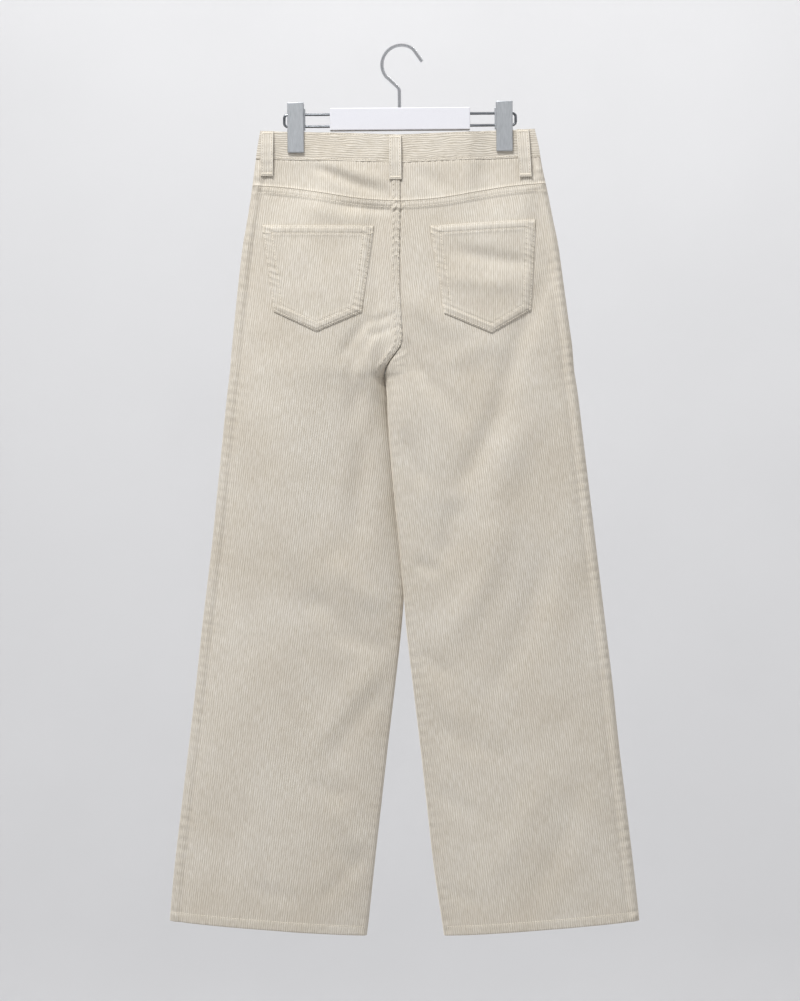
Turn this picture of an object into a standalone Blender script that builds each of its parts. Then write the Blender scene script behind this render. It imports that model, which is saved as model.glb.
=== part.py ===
"""Corduroy trousers hung by the waistband from a two-clip hanger, seen from behind.

Metres, +Z up. The origin is the inside top of the hanger's hook, where a rail or peg carries it.
-Y is the side of the garment's back, +Y its front, +X the right-hand leg as seen from behind.
Every cloth piece is a wall cut from one family of sections: each leg, and each half of the seat,
is a flat tube whose outline and depth are read from the table of levels.
"""

import math
from collections import namedtuple

import bmesh
import bpy
from mathutils import Matrix, Vector

for old in list(bpy.data.objects):
    bpy.data.objects.remove(old, do_unlink=True)

# ---------------------------------------------------------------- driving sizes
CLOTH = 0.0016          # one layer of corduroy
BAND_CLOTH = 0.0030     # the waistband is folded double
LOOP_CLOTH = 0.0018     # a belt loop is a folded strip
GAP = 0.0003            # clearance between two pieces at a seam
EDGE_HALF = 0.0040      # half the thickness of a leg at its pressed side edge
EDGE_STEP = 0.002       # share of the width over which that edge turns
SEAM_HALF = 0.00025     # half the clearance where back and front meet at an edge
HALF_WAIST = 0.1860     # from the side seam to the middle, along the waist seam
TILT = math.radians(0.45)   # the hanger hangs a little higher on the right

# Sections down the garment: height, the four edges across it (outer and inner edge of each leg;
# above the fork both inner edges are the seat seam), half the depth from back to front, how far
# the tube has closed into two legs (fork), and how far each inner edge is swung out of the middle
# plane, the right leg towards the viewer and the left leg away (swing).
Level = namedtuple("Level", "z left left_in right_in right depth fork swing")
LEVELS = (
    Level(-0.1085, -0.1835, -0.0015, -0.0015, 0.1735, 0.0110, 0.00, 0.000),
    Level(-0.1320, -0.1875, -0.0015, -0.0015, 0.1788, 0.0122, 0.00, 0.000),
    Level(-0.1530, -0.1902, -0.0015, -0.0015, 0.1822, 0.0138, 0.00, 0.000),
    Level(-0.1930, -0.1954, -0.0012, -0.0012, 0.1907, 0.0165, 0.00, 0.000),
    Level(-0.2260, -0.2006, -0.0014, -0.0014, 0.1972, 0.0185, 0.00, 0.000),
    Level(-0.2580, -0.2062, -0.0020, -0.0020, 0.2037, 0.0203, 0.00, 0.000),
    Level(-0.3230, -0.2136, -0.0015, -0.0015, 0.2128, 0.0228, 0.00, 0.000),
    Level(-0.3620, -0.2175, 0.0005, 0.0005, 0.2182, 0.0235, 0.00, 0.000),
    Level(-0.3880, -0.2200, 0.0000, 0.0000, 0.2219, 0.0238, 0.00, 0.000),
    Level(-0.4040, -0.2214, -0.0110, -0.0110, 0.2233, 0.0238, 0.07, 0.000),
    Level(-0.4170, -0.2224, -0.0195, -0.0195, 0.2243, 0.0238, 0.26, 0.000),
    Level(-0.4255, -0.2232, -0.0220, -0.0220, 0.2252, 0.0236, 0.56, 0.000),
    Level(-0.4300, -0.2238, -0.0232, -0.0215, 0.2260, 0.0235, 1.00, 0.000),
    Level(-0.4500, -0.2262, -0.0196, -0.0190, 0.2292, 0.0230, 1.00, 0.008),
    Level(-0.4800, -0.2293, -0.0100, -0.0178, 0.2329, 0.0225, 1.00, 0.011),
    Level(-0.5250, -0.2338, -0.0025, -0.0146, 0.2383, 0.0216, 1.00, 0.011),
    Level(-0.5800, -0.2393, 0.0035, -0.0100, 0.2449, 0.0208, 1.00, 0.011),
    Level(-0.6400, -0.2453, 0.0055, -0.0038, 0.2521, 0.0202, 1.00, 0.010),
    Level(-0.7000, -0.2523, 0.0045, 0.0018, 0.2593, 0.0198, 1.00, 0.009),
    Level(-0.7600, -0.2595, 0.0000, 0.0068, 0.2665, 0.0196, 1.00, 0.007),
    Level(-0.8300, -0.2669, -0.0078, 0.0150, 0.2749, 0.0196, 1.00, 0.005),
    Level(-0.9050, -0.2757, -0.0168, 0.0240, 0.2827, 0.0200, 1.00, 0.003),
    Level(-0.9850, -0.2853, -0.0258, 0.0330, 0.2923, 0.0208, 1.00, 0.001),
    Level(-1.0650, -0.2947, -0.0348, 0.0420, 0.3018, 0.0216, 1.00, 0.000),
    Level(-1.1350, -0.3010, -0.0422, 0.0525, 0.3094, 0.0222, 1.00, 0.000),
    Level(-1.1560, -0.3025, -0.0448, 0.0556, 0.3110, 0.0222, 1.00, 0.000),
)

# Heights of the seams, at the side edge and in the middle of the garment (or the inner edge)
Line = namedtuple("Line", "side middle")
WAIST_TOP = Line(-0.1085, -0.1157)
WAIST_TOP_FRONT = Line(-0.1085, -0.1125)
WAIST_SEAM = Line(-0.1447, -0.1520)
YOKE_SEAM = Line(-0.1800, -0.2025)
HEM_TURN = Line(-1.1230, -1.1425)
HEM_EDGE = Line(-1.1350, -1.1545)

# The back legs' rows between the yoke seam and the hem turn, side height and middle height;
# the fronts start higher, at the waist seam
FRONT_TOP_ROWS = (WAIST_SEAM, Line(-0.1800, -0.1850))
BACK_TOP_ROWS = (YOKE_SEAM,)
LEG_ROWS = (
    Line(-0.2150, -0.2290), Line(-0.2480, -0.2560), Line(-0.2850, -0.2890), Line(-0.3230, -0.3240),
    Line(-0.3620, -0.3600), Line(-0.3880, -0.3880), Line(-0.4060, -0.4040), Line(-0.4200, -0.4170),
    Line(-0.4310, -0.4255), Line(-0.4390, -0.4300), Line(-0.4560, -0.4500), Line(-0.4850, -0.4800),
    Line(-0.5250, -0.5250), Line(-0.5800, -0.5800), Line(-0.6400, -0.6400), Line(-0.7000, -0.7000),
    Line(-0.7600, -0.7630), Line(-0.8300, -0.8340), Line(-0.9050, -0.9120), Line(-0.9850, -0.9950),
    Line(-1.0650, -1.0790), HEM_TURN, HEM_EDGE,
)
# Places across a panel, 0 at the side seam and 1 at the seat seam or inseam
ACROSS = (0.0, EDGE_STEP, 0.03, 0.08, 0.16, 0.26, 0.38, 0.50, 0.62, 0.74, 0.84, 0.92, 0.97,
          1.0 - EDGE_STEP, 1.0)
# The same for half the waistband, closer together where a clip presses it flat
BAND_ACROSS = (EDGE_STEP, 0.03, 0.08, 0.14, 0.20, 0.26, 0.32, 0.39, 0.50, 0.62, 0.74, 0.86, 0.95)

# The largest folds: soft ridges (lift above 0) and troughs, from one end to the other
Fold = namedtuple("Fold", "x_top z_top x_low z_low width lift")
BACK_FOLDS = (
    Fold(0.150, -0.500, 0.085, -0.720, 0.034, 0.0034),
    Fold(0.184, -0.660, 0.120, -0.840, 0.024, -0.0030),
    Fold(0.010, -0.405, 0.080, -0.490, 0.022, -0.0030),
    Fold(0.165, -0.335, 0.080, -0.560, 0.026, -0.0028),
    Fold(0.195, -0.930, 0.120, -1.070, 0.030, 0.0032),
    Fold(0.238, -0.950, 0.165, -1.110, 0.024, -0.0030),
    Fold(-0.020, -0.800, -0.115, -0.915, 0.024, 0.0034),
    Fold(-0.020, -0.560, -0.075, -0.650, 0.026, -0.0030),
    Fold(-0.170, -0.450, -0.130, -0.690, 0.030, 0.0022),
    Fold(-0.012, -0.385, -0.080, -0.420, 0.020, -0.0028),
)
FRONT_FOLDS = (
    Fold(-0.020, -0.400, -0.110, -0.470, 0.024, -0.0030),
    Fold(-0.030, -0.600, -0.125, -0.740, 0.030, 0.0030),
    Fold(-0.070, -0.860, -0.170, -1.000, 0.028, -0.0028),
    Fold(0.012, -0.400, 0.100, -0.480, 0.024, -0.0028),
    Fold(0.040, -0.640, 0.150, -0.820, 0.032, 0.0032),
    Fold(0.130, -0.900, 0.215, -1.060, 0.028, -0.0028),
)

# Fly on the front: the left front laps over the right one above the fly's foot
FLY_FOOT = -0.300
FLY_LAP = 0.0060        # how far the lap passes the middle
FLY_LIFT = 0.0021       # the lap lies on the right front
BAND_LIFT = 0.0034      # the waistband's end lies on its other end
UNDERLAP = 0.034        # how far the waistband's hidden end runs back under the lap
FLY_TOP = -0.1560       # top of the zip's tape and of the shield behind it
TAPE_INSET = 0.0022     # outer face of the tape, in from the right front's outer side
TAPE_THICK = 0.0010
SHIELD_INSET = 0.0036
SLIDER = Vector((0.0066, 0.0017, 0.0100))
SLIDER_X = -0.0050
SLIDER_Z = -0.1640

# Back pockets, corner by corner: x and z
POCKETS = {
    "left": ((-0.1807, -0.2315), (-0.0355, -0.2343), (-0.0510, -0.3460), (-0.1100, -0.3710),
             (-0.1650, -0.3440)),
    "right": ((0.0367, -0.2350), (0.1745, -0.2262), (0.1682, -0.3443), (0.1166, -0.3742),
              (0.0552, -0.3484)),
}

# Belt loops: middle x at the top and at the foot, side of the garment, top and foot heights
Loop = namedtuple("Loop", "x_top x_foot face z_top z_foot")
LOOP_WIDTH = 0.0160
LOOPS = {
    "back_left": Loop(-0.1738, -0.1745, -1, -0.1092, -0.1676),
    "back_middle": Loop(-0.0082, -0.0076, -1, -0.1165, -0.1745),
    "back_right": Loop(0.1573, 0.1612, -1, -0.1092, -0.1712),
    "front_left": Loop(-0.0960, -0.0960, 1, -0.1122, -0.1700),
    "front_right": Loop(0.0930, 0.0930, 1, -0.1122, -0.1700),
}

# Button at the lapped end of the waistband
BUTTON_RADIUS = 0.0085
BUTTON_THICK = 0.0032
BUTTON_X = -0.0130
BUTTON_Z = -0.1310

# Hanger
HANGER_X = -0.0025      # middle of the bar
BAR = Vector((0.182, 0.012, 0.029))
BAR_Z = -0.0943
ROD_RADIUS = 0.00225
HOOK_RADIUS = 0.0254    # centre line of the hook's main round
HOOK_SHOULDER = 0.0140  # centre line of the tighter round before the free end
HOOK_ANGLES = (216, 62, 35)     # degrees from +X: where the rounds start, meet and end
HOOK_TAIL = 0.0175      # straight free end
NECK_RADIUS = 0.0085    # bend between the stem and the hook
NECK_Z = -0.0580
NECK_TURN = 52          # degrees
STEM_X = -0.0030
SOCKET = 0.0120         # depth of the holes in the bar
WIRE_RADIUS = 0.0018
WIRE_Z = (-0.0874, -0.1029)
WIRE_END = 0.1522       # from the bar's middle to the end of a wire loop
WIRE_CORNER = 0.0045
CLIP_REACH = 0.1355     # from the bar's middle to the middle of a clip
CLIP_WIDTH = 0.0214
CLIP_TOP = -0.0726
CLIP_FOOT = -0.1375
CLIP_SHEET = 0.0010
CLIP_FACE = 0.0073      # outer face of a jaw, from the middle plane
CLIP_RIM = 0.0039       # the jaw's turned edges stop here, on the cloth
PINCH_HALF = 0.0036     # half the thickness of the pinched waistband
PINCH_FLAT = 0.0165     # the cloth is flat this far each side of a clip's middle
PINCH_REACH = 0.050     # and full again this far away
SADDLE_TOP = -0.0800
SADDLE_FOOT = -0.1078
SADDLE_HALF = 0.0036
SADDLE_EAR = 0.0018     # the saddle shows this far beside the jaws, on the bar's side

# ---------------------------------------------------------------- collections and materials
trousers = bpy.data.collections.new("corduroy_trousers")
cutters = bpy.data.collections.new("cutters")
for group in (trousers, cutters):
    bpy.context.scene.collection.children.link(group)


def material(name, colour, roughness, metallic=0.0):
    made = bpy.data.materials.new(name)
    made.use_nodes = True
    shader = made.node_tree.nodes["Principled BSDF"]
    shader.inputs["Base Color"].default_value = (*colour, 1.0)
    shader.inputs["Roughness"].default_value = roughness
    shader.inputs["Metallic"].default_value = metallic
    return made


def finish(part, colour, roughness, metallic=0.0):
    """Gives a part its own material and puts it in the garment's collection."""
    part.data.materials.clear()
    part.data.materials.append(material(part.name, colour, roughness, metallic))
    for group in list(part.users_collection):
        group.objects.unlink(part)
    trousers.objects.link(part)
    return part


ECRU = (0.66, 0.60, 0.50)
ECRU_SHADE = (0.60, 0.54, 0.45)
HORN = (0.42, 0.34, 0.24)
CHROME = (0.78, 0.79, 0.80)
SATIN_STEEL = (0.46, 0.48, 0.50)
WHITE = (0.86, 0.86, 0.87)


# ---------------------------------------------------------------- the garment's form
def read_level(column, z):
    """Value of one column of the table at any height, along a smooth curve through its rows."""
    values = [getattr(level, column) for level in LEVELS]
    heights = [level.z for level in LEVELS]
    z = min(max(z, heights[-1]), heights[0])
    row = next(i for i in range(len(heights) - 1) if z >= heights[i + 1])

    def slope(i):
        before, after = max(i - 1, 0), min(i + 1, len(heights) - 1)
        return (values[after] - values[before]) / (heights[after] - heights[before])

    span = heights[row + 1] - heights[row]
    t = (z - heights[row]) / span
    ease = t * t * (3 - 2 * t)
    bend = span * t * (1 - t) * ((1 - t) * slope(row) - t * slope(row + 1))
    return values[row] * (1 - ease) + values[row + 1] * ease + bend


def smooth(t):
    t = min(max(t, 0.0), 1.0)
    return t * t * (3 - 2 * t)


def fly_open(z):
    """How far the lap passes the middle: 1 along the fly, falling to 0 below its foot."""
    return smooth((z - FLY_FOOT + 0.020) / 0.020)


def fly_raised(z):
    """How far the lap is lifted: it comes down only below the point where it ends."""
    return smooth((z - FLY_FOOT + 0.060) / 0.034)


def pinch(x, z):
    """1 where a clip holds the waistband flat, 0 where the cloth is free."""
    nearest = min(abs(x - HANGER_X - side * CLIP_REACH) for side in (-1, 1))
    across = smooth((PINCH_REACH - nearest) / (PINCH_REACH - PINCH_FLAT))
    down = smooth((z + 0.235) / 0.085)
    return across * down


def fold_lift(x, z, folds):
    """Height of all the folds together at one point of the cloth."""
    total = 0.0
    for fold in folds:
        along = Vector((fold.x_low - fold.x_top, fold.z_low - fold.z_top))
        away = Vector((x - fold.x_top, z - fold.z_top))
        share = away.dot(along) / along.length_squared
        beside = abs(away.x * along.y - away.y * along.x) / along.length
        ends = smooth((share + 0.25) / 0.45) * smooth((1.25 - share) / 0.45)
        total += fold.lift * ends * math.exp(-((beside / fold.width) ** 2))
    return total


def bulge(s, z):
    """How far the cloth stands from the middle plane, 0 to 1, across half the seat or one leg.

    It rises from the side seam over the whole half of the seat, and over half of a leg. Below the
    fork it falls to the inseam, at first close to it and further down over half of the leg."""
    rise_width = 1 - 0.5 * smooth((-0.20 - z) / 0.40)
    fall_width = 0.14 + 0.36 * smooth((-0.43 - z) / 0.24)
    to_side = max(1 - s / rise_width, 0.0)
    to_seam = min(max(1 - (1 - s) / fall_width, 0.0), 1.0)
    rise = (1 - to_side ** 2.2) ** 0.7
    fall = (1 - to_seam ** 2.2) ** 0.7
    return rise * (1 - read_level("fork", z) * (1 - fall))


def edges(leg, z):
    """Outer and inner edge of one side of the garment at a height."""
    return read_level(leg, z), read_level(leg + "_in", z)


def cloth_point(leg, face, s, z, inset=0.0):
    """Point of the cloth's outer side: leg "left" or "right", face -1 back or 1 front, share s
    across from the side seam, height z. An inset moves it into the garment."""
    outer, inner = edges(leg, z)
    inward = 1 if leg == "left" else -1
    depth, fork = read_level("depth", z), read_level("fork", z)
    half = EDGE_HALF + (depth - EDGE_HALF) * bulge(s, z)
    lap, raised = (fly_open(z), fly_raised(z)) if face > 0 and leg == "left" else (0.0, 0.0)
    if s == 0.0:
        half = SEAM_HALF
    if s == 1.0:
        half = depth * (1 - fork) + SEAM_HALF * fork
    x = outer + inward * inset + (inner + lap * FLY_LAP - inward * GAP / 2
                                  - fork * inward * inset - outer - inward * inset) * s
    half += (PINCH_HALF - half) * pinch(x, z) if 0.0 < s < 1.0 else 0.0
    room = smooth(s / 0.12) * (1 - fork * smooth((s - 0.88) / 0.12))
    half += fold_lift(x, z, BACK_FOLDS if face < 0 else FRONT_FOLDS) * room
    half += raised * FLY_LIFT * smooth((s - 0.80) / 0.12)
    if 0.0 < s and not (s == 1.0 and fork == 1.0):
        half -= inset
    swing = inward * read_level("swing", z) * s ** 3
    return Vector((x, face * half + swing, z + x * math.tan(TILT) * smooth((z + 0.60) / 0.35)))


def height_at(line, s):
    return line.side + (line.middle - line.side) * s


# ---------------------------------------------------------------- cloth pieces
def grid_piece(name, columns, rows, place, flip):
    """An open sheet of cloth: a flat grid whose corners are moved to place(column, row)."""
    bm = bmesh.new()
    bmesh.ops.create_grid(bm, x_segments=len(columns) - 1, y_segments=len(rows) - 1, size=0.5)
    for corner in bm.verts:
        i = round((corner.co.x + 0.5) * (len(columns) - 1))
        j = round((0.5 - corner.co.y) * (len(rows) - 1))
        corner.co = place(columns[i], rows[j])
    if flip:
        bmesh.ops.reverse_faces(bm, faces=bm.faces)
    bmesh.ops.triangulate(bm, faces=bm.faces)
    mesh = bpy.data.meshes.new(name)
    bm.to_mesh(mesh)
    bm.free()
    part = bpy.data.objects.new(name, mesh)
    trousers.objects.link(part)
    return part


def thicken(part, thickness, side=-1):
    """Turns a sheet into a wall; side -1 grows it into the garment, 1 away from it."""
    wall = part.modifiers.new("wall", "SOLIDIFY")
    wall.thickness = thickness
    wall.offset = side
    wall.use_even_offset = True
    return part


def faces_inside_out(leg, face):
    """The grid faces the viewer on the left leg's back; the other three are turned round."""
    return (leg == "right") != (face > 0)


def make_panel(name, leg, face, rows):
    def place(s, line):
        lapped = fly_open(height_at(line, s)) if (leg, face) == ("left", 1) else 0.0
        across = s * (1 + lapped * FLY_LAP / HALF_WAIST)
        return cloth_point(leg, face, s, height_at(line, min(across, 2 - across)))

    sheet = grid_piece(name, ACROSS, rows, place, faces_inside_out(leg, face))
    return finish(thicken(sheet, CLOTH), ECRU, 0.9)


def lowered(line, drop):
    return Line(line.side - drop, line.middle - drop)


def make_yoke(leg):
    top = lowered(WAIST_SEAM, GAP)
    foot = lowered(YOKE_SEAM, -GAP)
    middle = Line((top.side + foot.side) / 2, (top.middle + foot.middle) / 2)
    return make_panel("yoke_" + leg, leg, -1, (top, middle, foot))


def make_pocket(leg, panel):
    """A patch cut from the back leg's own sheet, moved out and thickened outwards."""
    bm = bmesh.new()
    bm.from_mesh(panel.data)
    outline = [Vector((x, 0.0, z)) for x, z in POCKETS[leg]]
    for start, end in zip(outline, outline[1:] + outline[:1]):
        outward = (end - start).cross(Vector((0, 1, 0)))
        geometry = bm.verts[:] + bm.edges[:] + bm.faces[:]
        bmesh.ops.bisect_plane(bm, geom=geometry, plane_co=start, plane_no=outward, dist=1e-6,
                               clear_outer=True)
    bmesh.ops.translate(bm, verts=bm.verts, vec=(0, -GAP, 0))
    bmesh.ops.dissolve_degenerate(bm, edges=bm.edges, dist=1e-4)
    mesh = bpy.data.meshes.new("pocket_" + leg)
    bm.to_mesh(mesh)
    bm.free()
    part = bpy.data.objects.new("pocket_" + leg, mesh)
    trousers.objects.link(part)
    return finish(thicken(part, CLOTH, side=1), ECRU_SHADE, 0.9)


def make_hem(leg):
    """The turned-up cloth inside a leg's foot: a closed ring just inside the panels."""
    inset = CLOTH + GAP
    inside = [s for s in ACROSS if 0.0 < s < 1.0]
    around = [(-1, s) for s in inside] + [(1, s) for s in reversed(inside)]

    def place(column, line):
        face, s = around[column % len(around)]
        return cloth_point(leg, face, s, height_at(line, s), inset)

    columns = list(range(len(around) + 1))
    ring = grid_piece("hem_" + leg, columns, (HEM_TURN, HEM_EDGE), place, leg == "right")
    weld(ring)
    return finish(thicken(ring, CLOTH), ECRU_SHADE, 0.9)


def weld(part):
    bm = bmesh.new()
    bm.from_mesh(part.data)
    bmesh.ops.remove_doubles(bm, verts=bm.verts, dist=1e-5)
    bm.to_mesh(part.data)
    bm.free()


def make_waistband():
    """One strip round the waist: it starts under the lap, runs round by the right side, the back
    and the left side, and ends on top of its own start, where the button is."""
    inside = list(BAND_ACROSS)
    under = [1.0 + UNDERLAP / HALF_WAIST * k / 3 for k in (3, 2, 1)]
    around = [("right", 1, s, 0.0) for s in under + [1.0] + inside[::-1]]
    around += [("right", -1, s, 0.0) for s in inside] + [("left", -1, s, 0.0) for s in inside[::-1]]
    over = inside[:-1] + [0.90, 0.95, 1.0, 1.0 + FLY_LAP / HALF_WAIST]
    around += [("left", 1, s, smooth((s - 0.70) / 0.11)) for s in over]

    def place(column, row):
        leg, face, s, lift = around[column]
        top = WAIST_TOP if face < 0 else WAIST_TOP_FRONT
        across = min(s, 2 - s)
        z = height_at(top, across) * (1 - row) + height_at(WAIST_SEAM, across) * row
        outer, inner = edges(leg, z)
        x = outer + (inner - outer) * s
        half = EDGE_HALF + (read_level("depth", z) - EDGE_HALF) * bulge(s, z)
        half += (PINCH_HALF - half) * pinch(x, z) + lift * BAND_LIFT
        return Vector((x, face * half, z + x * math.tan(TILT)))

    band = grid_piece("waistband", list(range(len(around))), (0.0, 0.5, 1.0), place, True)
    return finish(thicken(band, BAND_CLOTH), ECRU, 0.9)


def half_depth_at(x, z, face):
    """How far the outer side of the cloth stands from the middle plane at a given x."""
    leg = "left" if x < 0 else "right"
    outer, inner = edges(leg, z)
    return abs(cloth_point(leg, face, (x - outer) / (inner - outer), z).y)


def make_loop(name, loop):
    """A belt loop: sewn down at both ends, standing off the band between them."""
    columns = (-0.5, 0.0, 0.5)
    rows = ((0.0, 0.0006), (0.12, 0.0014), (0.35, 0.0028), (0.62, 0.0028), (0.86, 0.0015),
            (1.0, 0.0009))

    def place(across, row):
        share, stand_off = row
        z = loop.z_top + (loop.z_foot - loop.z_top) * share
        x = loop.x_top + (loop.x_foot - loop.x_top) * share + across * LOOP_WIDTH
        half = half_depth_at(x, z, loop.face) + stand_off
        return Vector((x, loop.face * half, z + x * math.tan(TILT)))

    strip = grid_piece("loop_" + name, columns, rows, place, loop.face > 0)
    return finish(thicken(strip, LOOP_CLOTH, side=1), ECRU_SHADE, 0.9)


def fly_face(z):
    """How far the right front stands from the middle plane beside the fly."""
    return cloth_point("right", 1, 0.995, z).y


def make_fly_strip(name, x_from, x_to, z_foot, inset, thickness):
    """A strip behind the fly, following the right front's inner side."""
    columns = [x_from + (x_to - x_from) * k / 4 for k in range(5)]
    rows = [FLY_TOP + (z_foot - FLY_TOP) * k / 5 for k in range(6)]

    def place(x, z):
        return Vector((x, fly_face(z) - inset, z + x * math.tan(TILT)))

    return finish(thicken(grid_piece(name, columns, rows, place, True), thickness), ECRU_SHADE, 0.8)


panels = {}
for leg in ("left", "right"):
    for face_name, face, top_rows in (("back", -1, BACK_TOP_ROWS), ("front", 1, FRONT_TOP_ROWS)):
        rows = (lowered(top_rows[0], GAP),) + top_rows[1:] + LEG_ROWS
        panels[face_name, leg] = make_panel(f"{face_name}_{leg}", leg, face, rows)
    make_yoke(leg)
    make_pocket(leg, panels["back", leg])
    make_hem(leg)
make_waistband()
for loop_name, loop in LOOPS.items():
    make_loop(loop_name, loop)
make_fly_strip("fly_shield", -0.036, 0.012, -0.325, SHIELD_INSET, CLOTH)
make_fly_strip("zip_tape", -0.018, 0.008, -0.318, TAPE_INSET, TAPE_THICK)


# ---------------------------------------------------------------- zip slider and button
def box(name, centre, size):
    bpy.ops.mesh.primitive_cube_add(size=1.0, location=centre)
    part = bpy.context.object
    part.name = part.data.name = name
    part.data.transform(Matrix.Diagonal((*size, 1.0)))
    return part


def soften(part, width, segments=2):
    edge = part.modifiers.new("rounded edges", "BEVEL")
    edge.width = width
    edge.segments = segments
    edge.limit_method = "ANGLE"
    return part


def make_zip_slider():
    tape_face = fly_face(SLIDER_Z) - TAPE_INSET
    centre = Vector((SLIDER_X, tape_face + GAP + SLIDER.y / 2, SLIDER_Z))
    finish(soften(box("zip_slider", centre, SLIDER), 0.0004), (0.50, 0.46, 0.38), 0.35, 1.0)


def make_button():
    """A four-hole button's disc, lying on the lapped end of the waistband."""
    lap_face = half_depth_at(BUTTON_X, BUTTON_Z, 1) + BAND_LIFT - FLY_LIFT
    y = lap_face + 2 * GAP + BUTTON_THICK / 2
    bpy.ops.mesh.primitive_cylinder_add(vertices=28, radius=BUTTON_RADIUS, depth=BUTTON_THICK,
                                        location=(BUTTON_X, y, BUTTON_Z),
                                        rotation=(math.radians(90), 0, 0))
    disc = bpy.context.object
    disc.name = disc.data.name = "button"
    finish(soften(disc, 0.0008), HORN, 0.35)


# ---------------------------------------------------------------- hanger
def hang(part):
    """The whole hanger leans by its tilt about the top of the hook."""
    part.parent = hanger_tilt
    return part


def rod(name, points, radius):
    """A bent rod: a polyline curve with a round section, welded into one closed mesh."""
    curve = bpy.data.curves.new(name, "CURVE")
    curve.dimensions = "3D"
    curve.bevel_depth = radius
    curve.bevel_resolution = 3
    curve.use_fill_caps = True
    line = curve.splines.new("POLY")
    line.points.add(len(points) - 1)
    for slot, point in zip(line.points, points):
        slot.co = (*point, 1.0)
    guide = bpy.data.objects.new(name + "_line", curve)
    trousers.objects.link(guide)
    bpy.context.view_layer.update()
    evaluated = guide.evaluated_get(bpy.context.evaluated_depsgraph_get())
    mesh = bpy.data.meshes.new_from_object(evaluated)
    bpy.data.objects.remove(guide, do_unlink=True)
    part = bpy.data.objects.new(name, mesh)
    trousers.objects.link(part)
    weld(part)
    mesh.shade_smooth()
    mesh.set_sharp_from_angle(angle=math.radians(40))
    return part


def arc(centre, radius, from_degrees, to_degrees, steps):
    """Points on a round in the hanger's plane, angles from +X towards +Z."""
    turns = [math.radians(from_degrees + (to_degrees - from_degrees) * k / steps)
             for k in range(steps + 1)]
    return [Vector((centre[0] + radius * math.cos(a), 0.0, centre[1] + radius * math.sin(a)))
            for a in turns]


def make_hook():
    """Stem, a bend to the left, the round over the rail, and a straight free end."""
    start, meet, end = HOOK_ANGLES
    turn = arc((0.0, ROD_RADIUS - HOOK_RADIUS), HOOK_RADIUS, start, meet, 16)
    inward = Vector((math.cos(math.radians(meet)), 0.0, math.sin(math.radians(meet))))
    shoulder_centre = turn[-1] - inward * HOOK_SHOULDER
    shoulder = arc((shoulder_centre.x, shoulder_centre.z), HOOK_SHOULDER, meet, end, 4)[1:]
    heading = Vector((math.sin(math.radians(end)), 0.0, -math.cos(math.radians(end))))
    free_end = shoulder[-1] + heading * HOOK_TAIL
    neck = arc((STEM_X - NECK_RADIUS, NECK_Z), NECK_RADIUS, 0, NECK_TURN, 4)
    foot = Vector((STEM_X, 0.0, BAR_Z + BAR.z / 2 - SOCKET + GAP))
    points = [foot] + neck + turn + shoulder + [free_end]
    finish(hang(rod("hanger_hook", points, ROD_RADIUS)), CHROME, 0.15, 1.0)


def drill(part, name, centre, radius, depth, turn):
    bpy.ops.mesh.primitive_cylinder_add(vertices=24, radius=radius, depth=depth, location=centre,
                                        rotation=turn)
    cutter = bpy.context.object
    cutter.name = name
    for group in list(cutter.users_collection):
        group.objects.unlink(cutter)
    cutters.objects.link(cutter)
    cutter.parent = hanger_tilt
    cutter.hide_render = True
    cutter.display_type = "WIRE"
    cut = part.modifiers.new(name, "BOOLEAN")
    cut.operation = "DIFFERENCE"
    cut.object = cutter


ALONG_X = (0, math.radians(90), 0)
UPRIGHT = (0, 0, 0)


def make_bar():
    bar = soften(box("hanger_bar", (HANGER_X, 0.0, BAR_Z), BAR), 0.0010)
    bar_top = BAR_Z + BAR.z / 2
    drill(bar, "stem_hole", (STEM_X, 0, bar_top), ROD_RADIUS + GAP, 2 * SOCKET, UPRIGHT)
    for side in (-1, 1):
        for wire, z in zip(("upper", "lower"), WIRE_Z):
            place = (HANGER_X + side * BAR.x / 2, 0.0, z)
            drill(bar, f"hole_{wire}_{side}", place, WIRE_RADIUS + GAP, 2 * SOCKET, ALONG_X)
    finish(hang(bar), WHITE, 0.4)


def make_wire(name, side):
    """One wire loop: out of the upper hole, round the end, and back into the lower hole."""
    z_top, z_low = WIRE_Z
    inner = HANGER_X + side * (BAR.x / 2 - SOCKET + GAP)
    corner = HANGER_X + side * (WIRE_END - WIRE_RADIUS - WIRE_CORNER)
    upper = arc((corner, z_top - WIRE_CORNER), WIRE_CORNER, 90, 0, 5)
    lower = arc((corner, z_low + WIRE_CORNER), WIRE_CORNER, 0, -90, 5)
    if side < 0:
        for point in upper + lower:
            point.x = 2 * corner - point.x
    ends = Vector((inner, 0, z_top)), Vector((inner, 0, z_low))
    wire = rod("hanger_wire_" + name, [ends[0]] + upper + lower + [ends[1]], WIRE_RADIUS)
    finish(hang(wire), CHROME, 0.15, 1.0)


def make_jaw(name, x, face):
    """A pressed steel jaw: a shallow tray, open towards the cloth."""
    deep = CLIP_FACE - CLIP_RIM
    centre = (x, face * (CLIP_RIM + deep / 2), (CLIP_TOP + CLIP_FOOT) / 2)
    jaw = box(name, centre, (CLIP_WIDTH, deep, CLIP_TOP - CLIP_FOOT))
    bm = bmesh.new()
    bm.from_mesh(jaw.data)
    bmesh.ops.delete(bm, geom=[f for f in bm.faces if f.normal.y * face < -0.5], context="FACES")
    pressed = [e for e in bm.edges if not e.is_boundary]
    bmesh.ops.bevel(bm, geom=pressed, offset=0.0011, segments=2, affect="EDGES", profile=0.5)
    bm.to_mesh(jaw.data)
    bm.free()
    finish(hang(thicken(jaw, CLIP_SHEET)), SATIN_STEEL, 0.45, 1.0)


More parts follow.
